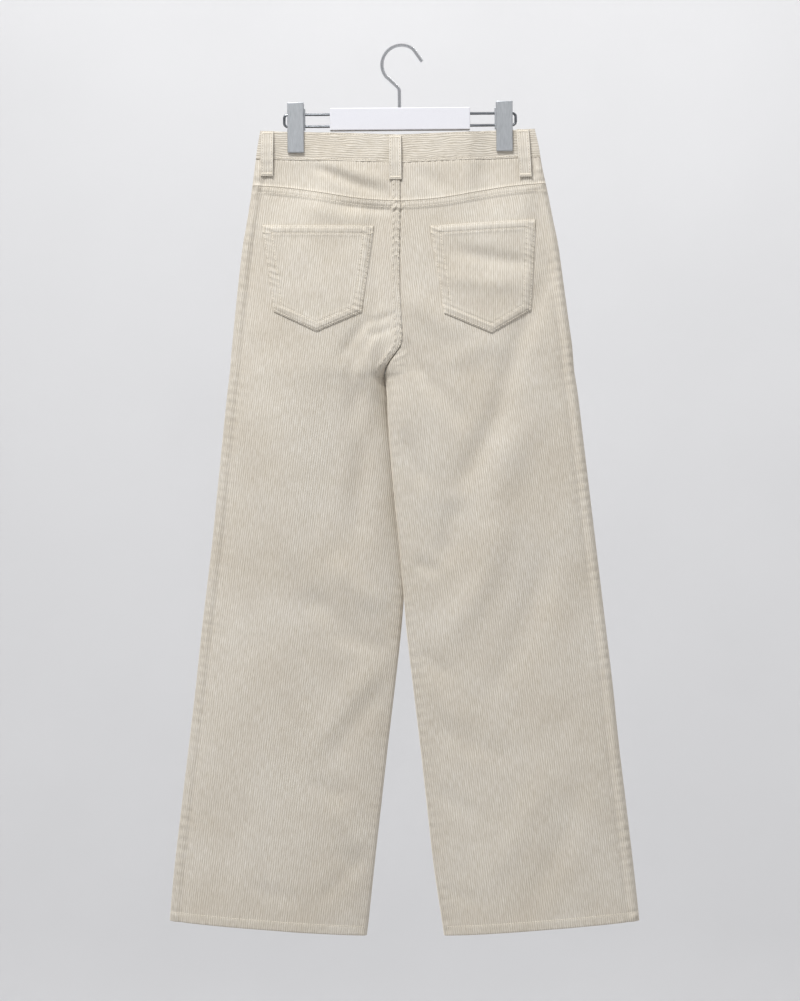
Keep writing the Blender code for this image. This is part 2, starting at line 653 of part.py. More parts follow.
def make_saddle(name, x, side):
    """The block that slides on both wires between the jaws."""
    away = x + side * (CLIP_WIDTH / 2 - 0.0004)
    near = x - side * (CLIP_WIDTH / 2 + SADDLE_EAR)
    centre = ((away + near) / 2, 0.0, (SADDLE_TOP + SADDLE_FOOT) / 2)
    saddle = box(name, centre, (abs(away - near), 2 * SADDLE_HALF, SADDLE_TOP - SADDLE_FOOT))
    soften(saddle, 0.0006)
    for wire, z in zip(("upper", "lower"), WIRE_Z):
        drill(saddle, f"{name}_{wire}_bore", (x, 0.0, z), WIRE_RADIUS + GAP, 0.040, ALONG_X)
    finish(hang(saddle), SATIN_STEEL, 0.5, 1.0)


def make_clip(name, side):
    x = HANGER_X + side * CLIP_REACH
    make_jaw(f"clip_{name}_back_jaw", x, -1)
    make_jaw(f"clip_{name}_front_jaw", x, 1)
    make_saddle(f"clip_{name}_saddle", x, side)


make_zip_slider()
make_button()
hanger_tilt = bpy.data.objects.new("hanger_tilt", None)
hanger_tilt.rotation_euler = (0.0, -TILT, 0.0)
trousers.objects.link(hanger_tilt)
make_hook()
make_bar()
for side_name, side in (("left", -1), ("right", 1)):
    make_wire(side_name, side)
    make_clip(side_name, side)
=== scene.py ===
"""Corduroy trousers on a two-clip hanger: the cloth, its seams and folds, and every finish.

Metres, +Z up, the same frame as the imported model. -Y is the back of the garment, +Y its front, and
+X the right-hand leg as seen from behind. The cloth is made again from the garment's own sections,
finer than the solids, and the hanger keeps its solids where their shape is already right.
"""
import math
from collections import namedtuple

import bmesh
import bpy
import numpy as np
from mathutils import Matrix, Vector


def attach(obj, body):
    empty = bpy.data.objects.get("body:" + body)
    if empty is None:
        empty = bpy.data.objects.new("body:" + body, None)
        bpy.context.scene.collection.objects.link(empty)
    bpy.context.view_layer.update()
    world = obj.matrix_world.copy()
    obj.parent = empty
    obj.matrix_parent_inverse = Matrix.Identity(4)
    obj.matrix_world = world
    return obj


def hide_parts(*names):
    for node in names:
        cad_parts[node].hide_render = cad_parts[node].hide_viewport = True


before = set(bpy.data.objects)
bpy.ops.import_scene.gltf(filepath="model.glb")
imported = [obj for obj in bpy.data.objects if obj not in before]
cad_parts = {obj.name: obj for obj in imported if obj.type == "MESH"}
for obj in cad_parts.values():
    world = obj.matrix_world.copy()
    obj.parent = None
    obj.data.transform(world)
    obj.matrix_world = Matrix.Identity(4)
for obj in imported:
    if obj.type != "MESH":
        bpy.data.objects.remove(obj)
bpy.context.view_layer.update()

CAD_NODES = list(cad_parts)

# ---------------------------------------------------------------- sizes of the garment
CLOTH = 0.0016          # one layer of corduroy
BAND_CLOTH = 0.0030     # the waistband is folded double
LOOP_CLOTH = 0.0018
GAP = 0.0003            # clearance between two pieces at a seam
EDGE_HALF = 0.0040      # half the thickness of a leg at its pressed side edge
SEAM_HALF = 0.00025     # half the clearance where back and front meet at an edge
SIDE_ROUND = 0.0050     # how far in from the side seam the cloth takes to turn
INSEAM_ROUND = 0.0036
HALF_WAIST = 0.1860
TILT = math.radians(0.45)   # the hanger hangs a little higher on the right

# Sections down the garment: height, the four edges across it, half the depth, how far the tube
# has closed into two legs (fork), and how far each inner edge is swung out of the middle plane
Level = namedtuple("Level", "z left left_in right_in right depth fork swing")
LEVELS = (
    Level(-0.1085, -0.1835, -0.0015, -0.0015, 0.1735, 0.0110, 0.00, 0.000),
    Level(-0.1320, -0.1875, -0.0015, -0.0015, 0.1788, 0.0122, 0.00, 0.000),
    Level(-0.1530, -0.1902, -0.0015, -0.0015, 0.1822, 0.0138, 0.00, 0.000),
    Level(-0.1930, -0.1954, -0.0012, -0.0012, 0.1907, 0.0165, 0.00, 0.000),
    Level(-0.2260, -0.2006, -0.0014, -0.0014, 0.1972, 0.0185, 0.00, 0.000),
    Level(-0.2580, -0.2062, -0.0020, -0.0020, 0.2037, 0.0203, 0.00, 0.000),
    Level(-0.3230, -0.2136, -0.0015, -0.0015, 0.2128, 0.0228, 0.00, 0.000),
    Level(-0.3620, -0.2175, 0.0005, 0.0005, 0.2182, 0.0235, 0.00, 0.000),
    Level(-0.3880, -0.2200, 0.0000, 0.0000, 0.2219, 0.0238, 0.00, 0.000),
    Level(-0.4040, -0.2214, -0.0110, -0.0110, 0.2233, 0.0238, 0.07, 0.000),
    Level(-0.4170, -0.2224, -0.0195, -0.0195, 0.2243, 0.0238, 0.26, 0.000),
    Level(-0.4255, -0.2232, -0.0214, -0.0214, 0.2252, 0.0236, 0.56, 0.001),
    Level(-0.4300, -0.2238, -0.0200, -0.0222, 0.2260, 0.0235, 1.00, 0.003),
    Level(-0.4500, -0.2262, -0.0140, -0.0190, 0.2292, 0.0230, 1.00, 0.008),
    Level(-0.4800, -0.2293, -0.0100, -0.0178, 0.2329, 0.0225, 1.00, 0.011),
    Level(-0.5250, -0.2338, -0.0025, -0.0146, 0.2383, 0.0216, 1.00, 0.011),
    Level(-0.5800, -0.2393, 0.0035, -0.0100, 0.2449, 0.0208, 1.00, 0.011),
    Level(-0.6400, -0.2453, 0.0055, -0.0038, 0.2521, 0.0202, 1.00, 0.010),
    Level(-0.7000, -0.2523, 0.0045, 0.0018, 0.2593, 0.0198, 1.00, 0.009),
    Level(-0.7600, -0.2595, 0.0000, 0.0068, 0.2665, 0.0196, 1.00, 0.007),
    Level(-0.8300, -0.2669, -0.0078, 0.0150, 0.2749, 0.0196, 1.00, 0.005),
    Level(-0.9050, -0.2757, -0.0168, 0.0240, 0.2827, 0.0200, 1.00, 0.003),
    Level(-0.9850, -0.2853, -0.0258, 0.0330, 0.2923, 0.0208, 1.00, 0.001),
    Level(-1.0650, -0.2947, -0.0348, 0.0420, 0.3018, 0.0216, 1.00, 0.000),
    Level(-1.1350, -0.3010, -0.0422, 0.0525, 0.3094, 0.0222, 1.00, 0.000),
    Level(-1.1560, -0.3025, -0.0448, 0.0556, 0.3110, 0.0222, 1.00, 0.000),
)

# Heights of the seams, at the side edge and in the middle of the garment (or the inner edge)
Line = namedtuple("Line", "side middle")
WAIST_TOP = Line(-0.1085, -0.1157)
WAIST_TOP_FRONT = Line(-0.1085, -0.1125)
WAIST_SEAM = Line(-0.1447, -0.1520)
YOKE_SEAM = Line(-0.1800, -0.2025)
YOKE_DIP = 0.0022       # the yoke seam sags in an S between the side and the middle
HEM_EDGE = Line(-1.1350, -1.1545)

# Folds in the cloth: ridges (lift above 0) and troughs, from one end to the other. Bow is how
# far the middle of the fold bends to one side.
Fold = namedtuple("Fold", "x_top z_top x_low z_low width lift bow")
BACK_FOLDS = (
    # seat, left half
    Fold(-0.120, -0.148, -0.026, -0.190, 0.0070, -0.0021, 0.004),
    Fold(-0.100, -0.146, -0.018, -0.176, 0.0090, 0.0014, 0.003),
    Fold(-0.076, -0.207, -0.018, -0.214, 0.0060, -0.0017, 0.000),
    Fold(-0.122, -0.206, -0.050, -0.229, 0.0120, 0.0016, 0.002),
    Fold(-0.038, -0.218, -0.026, -0.345, 0.0085, -0.0022, 0.003),
    Fold(-0.041, -0.358, -0.010, -0.350, 0.0040, -0.0010, 0.001),
    Fold(-0.040, -0.377, -0.012, -0.367, 0.0040, -0.0011, 0.001),
    Fold(-0.037, -0.385, -0.034, -0.452, 0.0090, 0.0021, 0.002),
    Fold(-0.061, -0.380, -0.057, -0.492, 0.0110, -0.0024, 0.003),
    Fold(-0.190, -0.250, -0.185, -0.350, 0.0120, -0.0012, 0.004),
    # seat, right half
    Fold(0.172, -0.205, 0.192, -0.300, 0.0130, -0.0022, 0.003),
    Fold(0.072, -0.268, 0.166, -0.284, 0.0100, -0.0022, 0.002),
    Fold(0.060, -0.302, 0.150, -0.312, 0.0120, 0.0014, 0.002),
    Fold(0.190, -0.300, 0.128, -0.465, 0.0150, -0.0026, 0.005),
    Fold(0.128, -0.465, 0.074, -0.570, 0.0150, -0.0024, -0.004),
    Fold(0.012, -0.330, 0.085, -0.374, 0.0180, 0.0020, 0.004),
    Fold(-0.012, -0.372, 0.004, -0.435, 0.0100, 0.0016, 0.002),
    Fold(0.006, -0.384, 0.024, -0.426, 0.0070, -0.0018, 0.002),
    Fold(-0.026, -0.345, -0.054, -0.388, 0.0060, 0.0013, 0.002),
    Fold(-0.034, -0.352, -0.078, -0.404, 0.0075, -0.0015, 0.003),
    Fold(-0.030, -0.376, -0.062, -0.446, 0.0085, 0.0014, 0.002),
    Fold(-0.018, -0.413, 0.006, -0.401, 0.0024, 0.0012, 0.000),
    Fold(-0.020, -0.420, 0.004, -0.411, 0.0024, 0.0013, 0.000),
    Fold(-0.022, -0.427, 0.002, -0.421, 0.0024, 0.0012, 0.000),
    Fold(0.030, -0.430, 0.078, -0.488, 0.0120, -0.0022, -0.003),
    Fold(0.020, -0.160, 0.060, -0.186, 0.0100, -0.0012, 0.002),
    Fold(0.120, -0.385, 0.060, -0.415, 0.0160, 0.0013, 0.003),
    # left leg
    Fold(-0.170, -0.450, -0.130, -0.690, 0.0300, 0.0022, 0.008),
    Fold(-0.045, -0.500, -0.056, -0.640, 0.0150, -0.0024, 0.004),
    Fold(-0.084, -0.674, -0.030, -0.726, 0.0160, 0.0023, 0.003),
    Fold(-0.122, -0.715, -0.050, -0.777, 0.0160, -0.0025, -0.004),
    Fold(-0.094, -0.762, -0.022, -0.781, 0.0120, -0.0015, 0.002),
    Fold(-0.022, -0.804, -0.112, -0.912, 0.0180, 0.0029, 0.006),
    Fold(-0.024, -0.836, -0.090, -0.922, 0.0150, -0.0026, 0.004),
    Fold(-0.116, -0.955, -0.066, -0.972, 0.0120, -0.0018, 0.002),
    Fold(-0.090, -0.985, -0.046, -1.040, 0.0160, 0.0021, 0.003),
    Fold(-0.086, -1.046, -0.048, -1.068, 0.0120, -0.0017, 0.000),
    Fold(-0.190, -1.090, -0.134, -1.106, 0.0100, -0.0015, 0.002),
    Fold(-0.110, -1.110, -0.050, -1.046, 0.0100, -0.0016, 0.003),
    Fold(-0.215, -0.560, -0.228, -0.760, 0.0170, -0.0013, 0.006),
    Fold(-0.195, -0.800, -0.236, -0.985, 0.0240, 0.0014, 0.006),
    # right leg
    Fold(0.002, -0.508, 0.030, -0.566, 0.0100, -0.0017, 0.002),
    Fold(0.152, -0.500, 0.104, -0.662, 0.0220, 0.0030, 0.006),
    Fold(0.142, -0.608, 0.054, -0.775, 0.0200, 0.0026, -0.008),
    Fold(0.072, -0.596, 0.058, -0.664, 0.0140, -0.0021, 0.002),
    Fold(0.020, -0.670, 0.048, -0.681, 0.0090, -0.0014, 0.001),
    Fold(0.186, -0.672, 0.124, -0.832, 0.0180, -0.0027, -0.007),
    Fold(0.022, -0.786, 0.066, -0.816, 0.0110, -0.0019, 0.002),
    Fold(0.032, -0.822, 0.074, -0.873, 0.0140, 0.0020, 0.002),
    Fold(0.052, -0.886, 0.134, -0.920, 0.0140, -0.0022, 0.003),
    Fold(0.046, -0.964, 0.095, -0.998, 0.0120, -0.0018, 0.002),
    Fold(0.195, -0.930, 0.118, -1.070, 0.0190, 0.0030, -0.006),
    Fold(0.238, -0.952, 0.160, -1.112, 0.0170, -0.0026, -0.008),
    Fold(0.052, -1.095, 0.104, -1.110, 0.0100, -0.0015, 0.001),
    Fold(0.232, -0.700, 0.252, -0.880, 0.0200, -0.0012, 0.005),
)
FRONT_FOLDS = (
    Fold(-0.030, -0.375, -0.118, -0.452, 0.0150, -0.0026, 0.006),
    Fold(-0.024, -0.352, -0.120, -0.410, 0.0160, 0.0018, 0.005),
    Fold(0.020, -0.370, 0.112, -0.458, 0.0150, -0.0026, -0.006),
    Fold(0.018, -0.345, 0.116, -0.405, 0.0170, 0.0018, -0.004),
    Fold(-0.014, -0.320, -0.060, -0.360, 0.0080, -0.0014, 0.002),
    Fold(0.024, -0.322, 0.074, -0.352, 0.0080, -0.0013, 0.002),
    Fold(-0.168, -0.170, -0.110, -0.262, 0.0130, -0.0016, 0.004),
    Fold(0.160, -0.172, 0.118, -0.250, 0.0130, -0.0014, -0.004),
    Fold(-0.062, -0.215, -0.150, -0.300, 0.0180, 0.0014, 0.004),
    Fold(0.070, -0.210, 0.158, -0.312, 0.0180, 0.0015, -0.004),
    Fold(-0.048, -0.560, -0.128, -0.745, 0.0240, 0.0027, 0.006),
    Fold(-0.140, -0.600, -0.180, -0.760, 0.0180, -0.0022, 0.005),
    Fold(-0.040, -0.770, -0.108, -0.840, 0.0150, -0.0024, 0.003),
    Fold(-0.070, -0.860, -0.170, -1.000, 0.0220, -0.0026, 0.006),
    Fold(-0.052, -0.905, -0.140, -1.050, 0.0180, 0.0022, 0.005),
    Fold(-0.220, -0.930, -0.180, -1.090, 0.0180, -0.0018, 0.004),
    Fold(-0.120, -1.060, -0.070, -1.100, 0.0110, -0.0016, 0.002),
    Fold(0.040, -0.500, 0.078, -0.640, 0.0150, -0.0020, 0.003),
    Fold(0.052, -0.640, 0.150, -0.820, 0.0240, 0.0030, -0.006),
    Fold(0.150, -0.640, 0.182, -0.790, 0.0180, -0.0022, 0.004),
    Fold(0.036, -0.800, 0.094, -0.866, 0.0140, -0.0020, 0.002),
    Fold(0.070, -0.930, 0.120, -0.968, 0.0130, -0.0019, 0.002),
    Fold(0.130, -0.900, 0.215, -1.060, 0.0210, -0.0027, 0.006),
    Fold(0.190, -0.860, 0.262, -1.000, 0.0200, 0.0020, 0.004),
    Fold(0.080, -1.050, 0.124, -1.094, 0.0120, -0.0016, 0.001),
)

# Fly, waistband lap and button
FLY_FOOT = -0.300
FLY_LAP = 0.0060
FLY_LIFT = 0.0021
BAND_LIFT = 0.0034
UNDERLAP = 0.034
FLY_TOP = -0.1560
TAPE_INSET = 0.0022
TAPE_THICK = 0.0010
UNDER_LAP = 0.995       # share across the right front leg where the zip lies under the lap
SHIELD_INSET = 0.0036

# Back pockets, corner by corner: x and z, top left first and the point last but one
POCKETS = {
    "left": ((-0.1807, -0.2315), (-0.0355, -0.2343), (-0.0510, -0.3460), (-0.1100, -0.3710),
             (-0.1650, -0.3440)),
    "right": ((0.0367, -0.2350), (0.1745, -0.2262), (0.1682, -0.3443), (0.1166, -0.3742),
              (0.0552, -0.3484)),
}
POCKET_GRAIN = {"left": math.radians(6.5), "right": math.radians(0.0)}
POCKET_HEM = 0.0120     # turned down along a pocket's mouth
STITCH_IN = 0.0017      # first row of stitching, in from an edge
STITCH_APART = 0.0090   # second row, from the first

Loop = namedtuple("Loop", "x_top x_foot face z_top z_foot")
LOOP_WIDTH, LOOP_LONG = 0.0160, 0.058
LOOPS = {
    "back_left": Loop(-0.1738, -0.1745, -1, -0.1092, -0.1676),
    "back_middle": Loop(-0.0082, -0.0076, -1, -0.1165, -0.1745),
    "back_right": Loop(0.1573, 0.1612, -1, -0.1092, -0.1712),
    "front_left": Loop(-0.0960, -0.0960, 1, -0.1122, -0.1700),
    "front_right": Loop(0.0930, 0.0930, 1, -0.1122, -0.1700),
}
# Share of the loop's height and how far its inner side stands off the band there
LOOP_STAND_OFF = ((0.0, 0.0006), (0.12, 0.0014), (0.35, 0.0028), (0.62, 0.0028), (0.86, 0.0015),
                  (1.0, 0.0009))

# Where the hanger's clips press the waistband
HANGER_X = -0.0025
CLIP_REACH = 0.1355
PINCH_HALF = 0.0036
PINCH_FLAT = 0.0165
PINCH_REACH = 0.050

# Sewing
FELL = 0.0100           # width of a felled seam's band
FELL_LIFT = 0.0013      # and how far it stands up
YOKE_ROWS = (0.0020, 0.0084)     # two rows of stitches on it, below the yoke seam
SEAT_ROWS = (0.0016, 0.0088)     # and beside the seat seam
ALLOWANCE = 0.0115      # side seam allowance, pressed towards the back
HEM_DEEP = 0.0120       # height of the hem's topstitching above the edge
STITCH = 0.0030         # length of one stitch
STITCH_PITCH = 1.22 * STITCH    # from one stitch to the next
THREAD = 0.00090        # thickness of the thread, a little coarse so that it shows
THREAD_LIFT = 0.00012   # its middle stands this far above the cloth
FOLD_DEPTH = 1.50       # all the folds together are this much deeper than the solids'
GRAIN = math.radians(7.3)   # each leg's wales lean outwards, down the leg

# ---------------------------------------------------------------- the garment's form
LEVEL_TABLE = np.array(LEVELS)
HEIGHTS = LEVEL_TABLE[:, 0]


def smooth(t):
    """0 up to t = 0, 1 from t = 1, and a soft step between."""
    t = np.clip(t, 0.0, 1.0)
    return t * t * (3 - 2 * t)


def ridge(distance, width):
    """1 on a line, falling softly to 0 on both sides of it."""
    return np.exp(-((distance / width) ** 2))


def read_level(column, z):
    """Values of one column of the table at any heights, along a smooth curve through its rows."""
    values = LEVEL_TABLE[:, Level._fields.index(column)]
    last = len(HEIGHTS) - 1
    before, after = np.maximum(np.arange(last + 1) - 1, 0), np.minimum(np.arange(last + 1) + 1, last)
    slopes = (values[after] - values[before]) / (HEIGHTS[after] - HEIGHTS[before])
    z = np.clip(z, HEIGHTS[-1], HEIGHTS[0])
    row = np.clip(np.searchsorted(-HEIGHTS, -z, side="left") - 1, 0, last - 1)
    span = HEIGHTS[row + 1] - HEIGHTS[row]
    t = (z - HEIGHTS[row]) / span
    bend = span * t * (1 - t) * ((1 - t) * slopes[row] - t * slopes[row + 1])
    return values[row] * (1 - smooth(t)) + values[row + 1] * smooth(t) + bend


def fly_open(z):
    """How far the lap passes the middle: 1 along the fly, falling to 0 below its foot."""
    return smooth((z - FLY_FOOT + 0.020) / 0.020)


def fly_raised(z):
    """How far the lap is lifted: it comes down only below the point where it ends."""
    return smooth((z - FLY_FOOT + 0.060) / 0.034)


def pinch(x, z):
    """1 where a clip holds the waistband flat, 0 where the cloth is free."""
    nearest = np.minimum(abs(x - HANGER_X - CLIP_REACH), abs(x - HANGER_X + CLIP_REACH))
    across = smooth((PINCH_REACH - nearest) / (PINCH_REACH - PINCH_FLAT))
    return across * smooth((z + 0.235) / 0.085)


def fold_lift(x, z, folds):
    """Height of all the folds together at each point of the cloth."""
    total = 0.0
    for fold in folds:
        run = np.array((fold.x_low - fold.x_top, fold.z_low - fold.z_top))
        length = np.hypot(*run)
        away_x, away_z = x - fold.x_top, z - fold.z_top
        share = (away_x * run[0] + away_z * run[1]) / length ** 2
        beside = (away_x * run[1] - away_z * run[0]) / length
        beside = beside - fold.bow * 4 * np.clip(share, -0.2, 1.2) * (1 - np.clip(share, -0.2, 1.2))
        ends = smooth((share + 0.25) / 0.5) * smooth((1.25 - share) / 0.5)
        total += fold.lift * ends * ridge(beside, fold.width)
    return total


def bulge(s, z):
    """How far the cloth stands from the middle plane, 0 to 1, across half the seat or one leg."""
    rise_width = 1 - 0.5 * smooth((-0.20 - z) / 0.40)
    fall_width = 0.14 + 0.36 * smooth((-0.43 - z) / 0.24)
    to_side = np.maximum(1 - s / rise_width, 0.0)
    to_seam = np.clip(1 - (1 - s) / fall_width, 0.0, 1.0)
    rise = (1 - to_side ** 2.2) ** 0.7
    fall = (1 - to_seam ** 2.2) ** 0.7
    return rise * (1 - read_level("fork", z) * (1 - fall))


def uneven(t, step, seed):
    """A soft random line from -1 to 1 along t, with a new value about every step."""
    values = np.random.default_rng(seed).uniform(-1, 1, 4096)
    place = t / step + 2048
    low = np.floor(place).astype(int)
    return values[low % 4096] + (values[(low + 1) % 4096] - values[low % 4096]) * smooth(place - low)


def puckers(t, spacing, seed):
    """Uneven little waves along a seam, -1 to 1, about one every spacing."""
    drift = 2.2 * uneven(t, 4.3 * spacing, seed)
    strength = 0.62 + 0.38 * uneven(t, 3.1 * spacing, seed + 1)
    return np.sin(2 * math.pi * t / spacing + drift) * strength


def undulation(x, z, seed):
    """Slow waves that no cloth is without, -1 to 1."""
    random = np.random.default_rng(seed)
    total = 0.0
    for length in (0.170, 0.120, 0.085, 0.060, 0.046, 0.034):
        for _ in range(2):
            turn, phase = random.uniform(-1.1, 1.1), random.uniform(0, 2 * math.pi)
            total += (length / 0.170) * np.sin(
                2 * math.pi * (x * math.cos(turn) + z * math.sin(turn) * 0.7) / length + phase)
    return total / 4.0


def band(distance, start, end, soft):
    """1 between two distances, 0 outside, with soft sides."""
    return smooth((distance - start + soft) / soft) * smooth((end + soft - distance) / soft)


def height_at(line, s):
    """Height of a seam at share s from the side edge to the middle."""
    return line.side + (line.middle - line.side) * s


def yoke_height(s):
    """Height of the yoke seam, with its sag."""
    return height_at(YOKE_SEAM, s) + YOKE_DIP * np.sin(2 * math.pi * np.clip(s, 0, 1))


def inward(leg):
    """Which way along X the middle lies from a leg's side seam."""
    return 1 if leg == "left" else -1


def edges(leg, z):
    """The side edge and the inner edge of a leg, in X."""
    return read_level(leg, z), read_level(leg + "_in", z)


def share_across(leg, x, z):
    """Share of a place across a leg, 0 at the side seam and 1 at the inner edge."""
    outer, inner = edges(leg, z)
    return (x - outer) / (inner - outer)


def seam_relief(leg, face, s, z, width):
    """Thickness and puckering that the sewing gives the cloth beside each seam."""
    seed = {"left": 0, "right": 40}[leg] + (face + 1) * 10
    fork = read_level("fork", z)
    from_side, from_seam = s * width, (1 - s) * width
    below_waist = smooth((-0.150 - z) / 0.012)

    # side seam and inseam: a pressed allowance with small puckers pulled across it
    allowance = 0.00120 * (1 - smooth((from_side - ALLOWANCE + 0.002) / 0.0060)) * below_waist
    allowance += 0.00110 * ridge(from_side - 0.0068, 0.0024) * below_waist
    allowance -= 0.00110 * ridge(from_side - 0.0145, 0.0038) * below_waist
    if face > 0:
        allowance = allowance * 0.25
    lift = allowance
    lift += 0.00130 * puckers(z + 0.25 * from_side, 0.0115, seed) * np.exp(-from_side / 0.014) \
        * smooth(from_side / 0.0015) * below_waist
    lift += 0.00100 * puckers(z - 0.25 * from_seam, 0.0130, seed + 3) * fork \
        * np.exp(-from_seam / 0.010) * smooth(from_seam / 0.0015)

    # seat seam: felled on to the left half, both halves drawn in to the stitching
    above_fork = (1 - fork) * (z < -0.1)
    if face < 0:
        felled = leg == "left"
        if felled:
            lift += above_fork * FELL_LIFT * band(from_seam, 0.0, FELL + 0.0006, 0.0016)
        strength = 0.00125 if felled else 0.00080
        lift += above_fork * strength * puckers(z + 0.9 * abs(from_seam - 0.0048), 0.0088, seed + 5) \
            * band(from_seam, 0.0012, 0.0085 if felled else 0.002, 0.007)
        lift -= above_fork * 0.0010 * ridge(from_seam, 0.0013)
    else:
        lift += above_fork * 0.00040 * puckers(z - 0.4 * from_seam, 0.0120, seed + 6) \
            * np.exp(-from_seam / 0.012) * smooth((FLY_FOOT - z) / 0.02)

    # yoke seam: a felled band below it
    if face < 0:
        below = yoke_height(s) - z
        along = s * width
        lift += FELL_LIFT * band(below, 0.0, FELL - 0.001, 0.0030)
        lift += 0.00050 * puckers(along + 0.3 * below, 0.0085, seed + 7) * band(below, -0.003, 0.012, 0.006)
        for row in YOKE_ROWS:
            lift -= 0.00055 * ridge(below - row, 0.0011)

    # waist seam: the cloth gathers very slightly into the waistband
    under_band = height_at(WAIST_SEAM, s) - z
    lift += 0.00045 * puckers(s * width, 0.0078, seed + 8) * np.exp(-np.maximum(under_band, 0) / 0.010)
    lift -= 0.0007 * ridge(under_band, 0.0022)

    # hem: the turned cloth inside shows as a band that ropes, and the edge rolls in
    over_edge = z - height_at(HEM_EDGE, s)
    around = s * width
    lift += 0.00060 * (1 - smooth((over_edge - HEM_DEEP - 0.0002) / 0.0016))
    rope = 0.55 * puckers(around + 0.8 * over_edge, 0.0130, seed + 9) + 0.45 * puckers(
        around + 0.6 * over_edge, 0.0060, seed + 11)
    lift += 0.00055 * rope * band(over_edge, 0.002, HEM_DEEP - 0.003, 0.0035)
    lift -= 0.00060 * ridge(over_edge - HEM_DEEP, 0.0011)
    over_hem = np.maximum(over_edge - HEM_DEEP, 0)
    lift += 0.00030 * puckers(around, 0.0105, seed + 12) * np.exp(-over_hem / 0.012) \
        * smooth((0.09 - over_edge) / 0.05)
    roll = np.clip(1 - over_edge / 0.0020, 0.0, 1.0)
    lift -= 0.0013 * (1 - np.sqrt(1 - roll ** 2))
    return lift


def cloth_form(leg, face, s, z, inset=0.0, relief=True):
    """Points of the cloth's outer side: leg "left" or "right", face -1 back or 1 front, share s
    across from the side seam, height z. An inset moves them into the garment."""
    s, z = np.broadcast_arrays(np.asarray(s, float), np.asarray(z, float))
    side = inward(leg)
    outer, inner = edges(leg, z)
    width = abs(inner - outer)
    depth, fork = read_level("depth", z), read_level("fork", z)
    lap = fly_open(z) * (face > 0 and leg == "left")
    x = outer + side * inset + (inner + lap * FLY_LAP - side * GAP / 2 - fork * side * inset
                                - outer - side * inset) * s
    half = EDGE_HALF + (depth - EDGE_HALF) * bulge(s, z)
    half += (PINCH_HALF - half) * pinch(x, z) * (s > 0)
    room = smooth(s / 0.10) * (1 - fork * smooth((s - 0.90) / 0.10))
    room = room * smooth((height_at(WAIST_SEAM, s) - z) / 0.016)
    # the folds are shallower towards the hems
    depth_here = FOLD_DEPTH * (1 - 0.55 * smooth((-0.66 - z) / 0.18))
    half += depth_here * fold_lift(x, z, BACK_FOLDS if face < 0 else FRONT_FOLDS) * room
    half += 0.0011 * undulation(x, z, 3 if face < 0 else 4) * room * (1 - pinch(x, z))
    half += (face > 0 and leg == "left") * fly_raised(z) * FLY_LIFT * smooth((s - 0.80) / 0.12)
    if relief:
        half += seam_relief(leg, face, s, z, width)
    half -= inset
    # the edges: back and front turn to meet each other at the side seam and the inseam
    turn = np.clip(1 - s * width / SIDE_ROUND, 0, 1)
    half = SEAM_HALF + (half - SEAM_HALF) * np.sqrt(1 - turn ** 2)
    turn = np.clip(1 - (1 - s) * width / INSEAM_ROUND, 0, 1)
    half = half + fork * (SEAM_HALF + (half - SEAM_HALF) * np.sqrt(1 - turn ** 2) - half)
    swing = side * read_level("swing", z) * s ** 3
    return np.stack([x, face * half + swing, lean(x, z)], axis=-1)


def lean(x, z):
    """The whole upper part hangs with the hanger's tilt."""
    return z + x * math.tan(TILT) * smooth((z + 0.60) / 0.35)


def on_cloth(face, x, z, lift=0.0):
    """Points lying on the back or front at given places, raised by a lift."""
    x, z = np.broadcast_arrays(np.asarray(x, float), np.asarray(z, float))
    points = np.zeros(x.shape + (3,))
    for leg, mine in (("left", x < seat_seam(z)), ("right", x >= seat_seam(z))):
        if mine.any():
            s = np.clip(share_across(leg, x[mine], z[mine]), 0.0, 1.0)
            points[mine] = cloth_form(leg, face, s, z[mine])
    points[..., 0] = x
    points[..., 1] += face * lift
    return points


def seat_seam(z):
    """Where the seat seam, or the middle between the legs, lies in X."""
    return read_level("left_in", z) / 2 + read_level("right_in", z) / 2


# ---------------------------------------------------------------- making meshes
def deselect():
    bpy.ops.object.select_all(action="DESELECT")


def pick(piece):
    """Selects one piece alone and makes it the active one."""
    deselect()
    piece.select_set(True)
    bpy.context.view_layer.objects.active = piece


def shape(piece, kind, **settings):
    """Adds a modifier to a piece and applies it at once."""
    pick(piece)
    modifier = piece.modifiers.new(kind.lower(), kind)
    for key, value in settings.items():
        setattr(modifier, key, value)
    bpy.ops.object.modifier_apply(modifier=modifier.name)


def mesh_of(piece):
    """A piece's points and faces, to be repeated; the piece itself is removed."""
    points = np.array([v.co[:] for v in piece.data.vertices])
    faces = [tuple(p.vertices) for p in piece.data.polygons]
    bpy.data.objects.remove(piece, do_unlink=True)
    return points, faces


def joined(name, copies, faces):
    """Many small copies of one shape as one piece."""
    count = len(copies[0])
    mesh = bpy.data.meshes.new(name)
    mesh.from_pydata(np.concatenate(copies), [],
                     [tuple(v + k * count for v in f) for k in range(len(copies)) for f in faces])
    piece = bpy.data.objects.new(name, mesh)
    bpy.context.scene.collection.objects.link(piece)
    return piece


def hand_over(piece, material, replaced=None):
    """Gives a finished piece its material and body, and hides the solid it stands for."""
    piece.data.materials.append(material)
    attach(piece, "root")
    if replaced:
        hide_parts(replaced)


